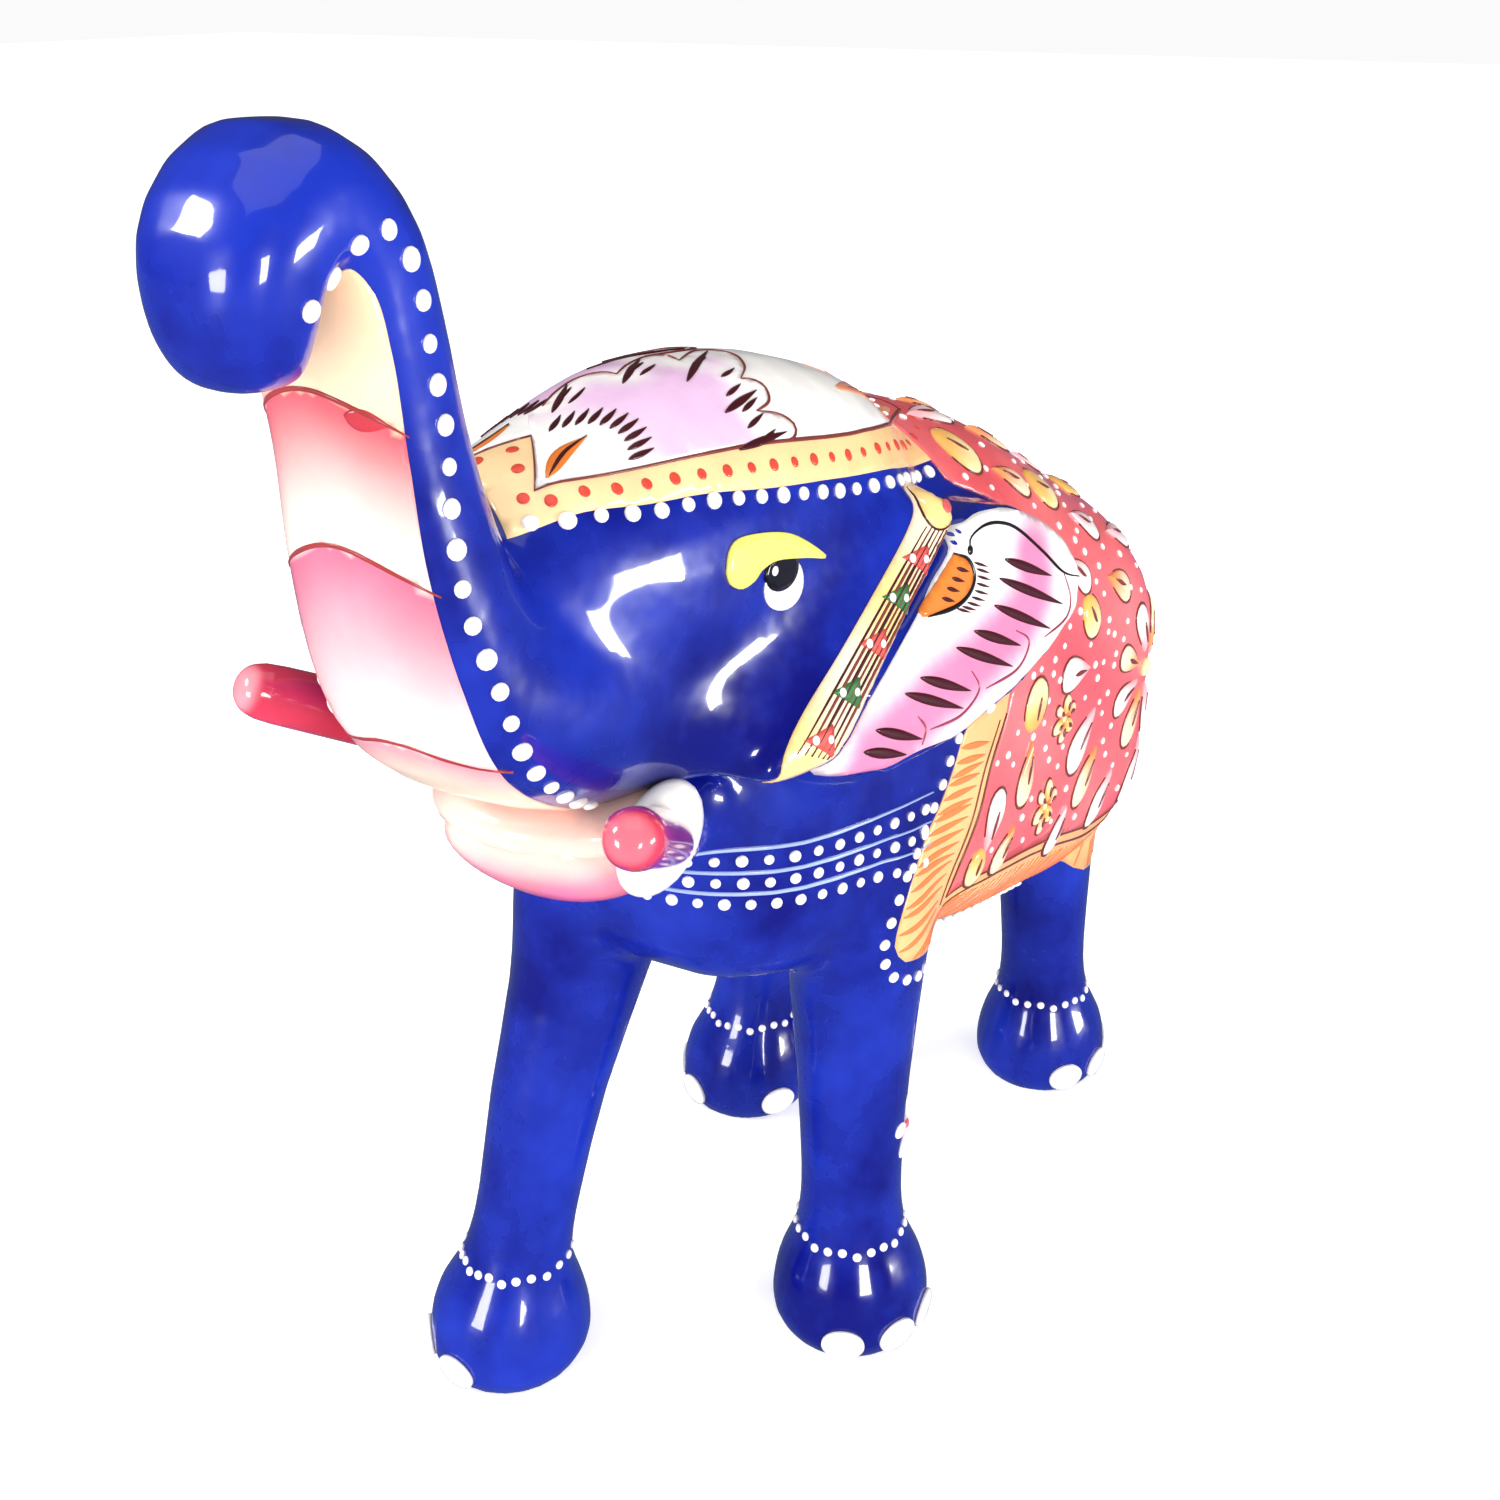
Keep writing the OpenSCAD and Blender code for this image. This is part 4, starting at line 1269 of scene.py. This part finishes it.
def make_saddle(skin, paint, bead):
    """The embossed cloth over the back, with its striped border."""
    chart = flank(skin)
    cloth = Coat()
    whole = cloth_outline(SADDLE_FRONT, SADDLE_FOOT, SADDLE_REAR)
    field = cloth_outline(FIELD_FRONT, FIELD_FOOT, FIELD_REAR)
    cloth.patch(chart, whole, mix(ORANGE, CREAM, 0.18), lift=0.1, grid=1.3)
    cloth.patch(chart, field, field_shade, lift=0.17, grid=1.3)
    border = rgb(224, 122, 62)
    for side in (1, -1):
        half = flank(skin, side)
        front_line = smooth_path(FIELD_FRONT[12:], 0.8)
        foot_line = smooth_path(FIELD_FOOT, 0.8)
        rear_line = smooth_path(FIELD_REAR, 0.8)
        front_edge = smooth_path(SADDLE_FRONT[13:], 1)
        lay_stripes(cloth, half, front_edge, shifted(front_line, -1.6, -0.6), 1.75, border)
        lay_stripes(cloth, half, smooth_path(SADDLE_FOOT, 1), shifted(foot_line, 0, -1.3), 1.9, border)
        lay_stripes(cloth, half, smooth_path(SADDLE_REAR, 1), shifted(rear_line, 1.3, 0), 1.9, border)
        for line, away in ((front_line, (-1.5, -0.3)), (foot_line, (0, -1.2)), (rear_line, (1.3, 0))):
            cloth.stroke(half, line, 0.36, rgb(122, 50, 36), lift=0.2, thick=0.06)
            cloth.stroke(half, shifted(line, *away), 0.36, rgb(122, 50, 36), lift=0.15, thick=0.06)
    cloth.make("saddle_cloth", paint, slot="petal_enamel")
    for name, side in (("left", 1), ("right", -1)):
        half = flank(skin, side)
        drops = Coat()
        for along, up, turn, length, width, kind in PETALS:
            lay_petal(drops, half, along, up, turn, length, width, kind)
        for spot in BLOSSOMS:
            lay_blossom(drops, half, spot, 1.9, 6, 2.4, 1.5, 1)
        drops.make("saddle_drops_" + name, paint, ("saddle_petals_" + name,), slot="petal_enamel")
        rosette = Coat()
        lay_blossom(rosette, half, ROSETTE, 6.2, 8, 6.6, 3.8, 0)
        rosette.make("saddle_blossom_" + name, paint, ("saddle_rosette_" + name,), slot="petal_enamel")
        make_saddle_beads(half, name, bead)


def make_saddle_beads(half, name, bead):
    """Small beads scattered where the petals leave room, and a row of larger ones round the border."""
    beads = Coat()
    taken = [(p[0], p[1], p[3] * 0.5) for p in PETALS]
    taken += [(a, b, 3.4) for a, b in BLOSSOMS] + [(*ROSETTE, 10)]
    field = cloth_outline(FIELD_FRONT, FIELD_FOOT, FIELD_REAR)
    for row in range(24):
        for column in range(26):
            along = -6 + 2.75 * column + 1.4 * (row % 2) + 0.9 * math.sin(12.9 * row + 7.2 * column)
            up = -22 + 2.85 * row + 0.8 * math.cos(5.1 * row + 3.3 * column)
            spot = (along, up)
            clear = all(math.dist(spot, (a, b)) > reach + 0.5 for a, b, reach in taken)
            deep = up < SPINE - 1 and all(math.dist(spot, p) > 1.4 for p in field)
            kept = (row * 7 + column * 5) % 3 != 0
            if kept and clear and deep and inside(field, spot):
                beads.dot(half, spot, 0.95 + 0.15 * math.sin(9 * column), WHITE, lift=0.12, segments=10)
    edge = [
        (-6.6, 8), (-10.2, 3.4), (-12.4, -1.4), (-15.4, -6), (-18.2, -9.6), (-20, -13),
        (-21.3, -16.6), (-21.4, -19.4), (-19.6, -21.4), (-15.6, -22), (-4, -24), (10, -25.4),
        (24, -27.4)
    ]
    for spot in spread_path(half, smooth_path(edge, 0.6), 2.7):
        beads.dot(half, spot, 1.35, WHITE)
    beads.make("saddle_beads_" + name, bead, ("saddle_cloth_dots_" + name,))


# ---------------------------------------------------------------- breast and legs


def make_breast(skin, paint, bead):
    """Three fine pale lines across the breast, each with a row of beads below it."""
    chart = chest(skin)
    lines, beads = Coat(), Coat()
    for middle, end in ((75, 73.8), (72.4, 70.2), (70, 67.4)):
        path = [(turn, middle + (end - middle) * (turn / 84) ** 2) for turn in np.linspace(-86, 86, 120)]
        lines.stroke(chart, path, 0.42, SKY_LINE, lift=0.1, thick=0.08)
    lines.make("breast_lines", paint, slot="petal_enamel")
    for middle, end in ((73.7, 72), (71.2, 68.9), (68.8, 65.4)):
        path = [(turn, middle + (end - middle) * (turn / 84) ** 2) for turn in np.linspace(-83, 83, 90)]
        for k, spot in enumerate(spread_path(chart, path, 2.8)):
            beads.dot(chart, spot, 1.22 + 0.12 * math.sin(2.7 * k), WHITE)
    beads.make("breast_beads", bead, ("chest_dots",))


# Each foot: its middle (x, y), the height of its anklet in front and behind, and where its nails stand
FEET = {
    "front_right": ((-17.1, -43.2), (15.2, 15.2), (-6, -50, -94)),
    "front_left": ((17, -17.5), (14.4, 15), (21, 63, 99)),
    "rear_right": ((-17.5, 18), (14.4, 15), (-26, 56, -76)),
    "rear_left": ((19, 46), (14.2, 14.6), (44, 84, 128)),
}


def make_foot(skin, name, bead):
    """The anklet of beads and the three nails of one foot."""
    middle, heights, nails = FEET[name]
    chart = around(skin, *middle)
    beads = Coat()
    for k in range(23):
        turn = k * 360 / 23
        height = heights[0] + (heights[1] - heights[0]) * (0.5 - 0.5 * math.cos(math.radians(turn)))
        beads.dot(chart, (turn, height + 0.25 * math.sin(2.2 * k)), 1.1, WHITE, segments=12)
    beads.make("anklet_beads_" + name, bead, ("anklet_" + name,))
    claws = Coat()
    for turn in nails:
        claws.dot(chart, (turn, 3.3), 4.6, WHITE, rise=0.16, shape=(1.15, 1.0), segments=28)
    claws.make("nails_" + name, bead, ("toenails_" + name,))


def make_leg_flower(skin, paint):
    """The small petals round a pink dot on the outside of each front leg."""
    coat = Coat()
    for side in (1, -1):
        chart = profile(skin, side)
        foot = -13.6 if side > 0 else -37
        for k in range(5):
            turn = 90 + 72 * k
            a = math.radians(turn)
            spot = (foot + 2.3 * math.cos(a), 28.5 + 2.3 * math.sin(a))
            coat.pad(chart, spot, turn + 180, 3.9, 2.7, (WHITE, rgb(236, 214, 232)), rise=0.25, lift=0.02)
        coat.dot(chart, (foot, 28.5), 1.3, rgb(214, 92, 110), lift=0.15)
    coat.make("leg_flowers", paint, slot="petal_enamel")


# ---------------------------------------------------------------- making


def main():
    """Sets the stage, carves the block and paints it, piece by piece."""
    make_camera()
    make_floor()
    make_lights()
    body = make_body()
    skin = Skin(body)
    paint = paint_material("painted_enamel")
    bead = paint_material("bead_enamel", wave=0.03, rough=0.25, coat=0.8)
    tusk = paint_material("tusk_lacquer_red", wave=0.12, rough=0.2, coat=1.0)
    make_head_cloth(skin, paint, bead)
    make_trunk_paint(skin, paint, bead)
    make_lip(skin, paint)
    make_saddle(skin, paint, bead)
    make_breast(skin, paint, bead)
    make_leg_flower(skin, paint)
    for name, side in (("left", 1), ("right", -1)):
        make_tusk("tusk_" + name, side, tusk)
        make_eye(skin, "eye_" + name, side, bead)
        make_ear(skin, "ear_" + name, side, paint)
    for name in FEET:
        make_foot(skin, name, bead)


main()
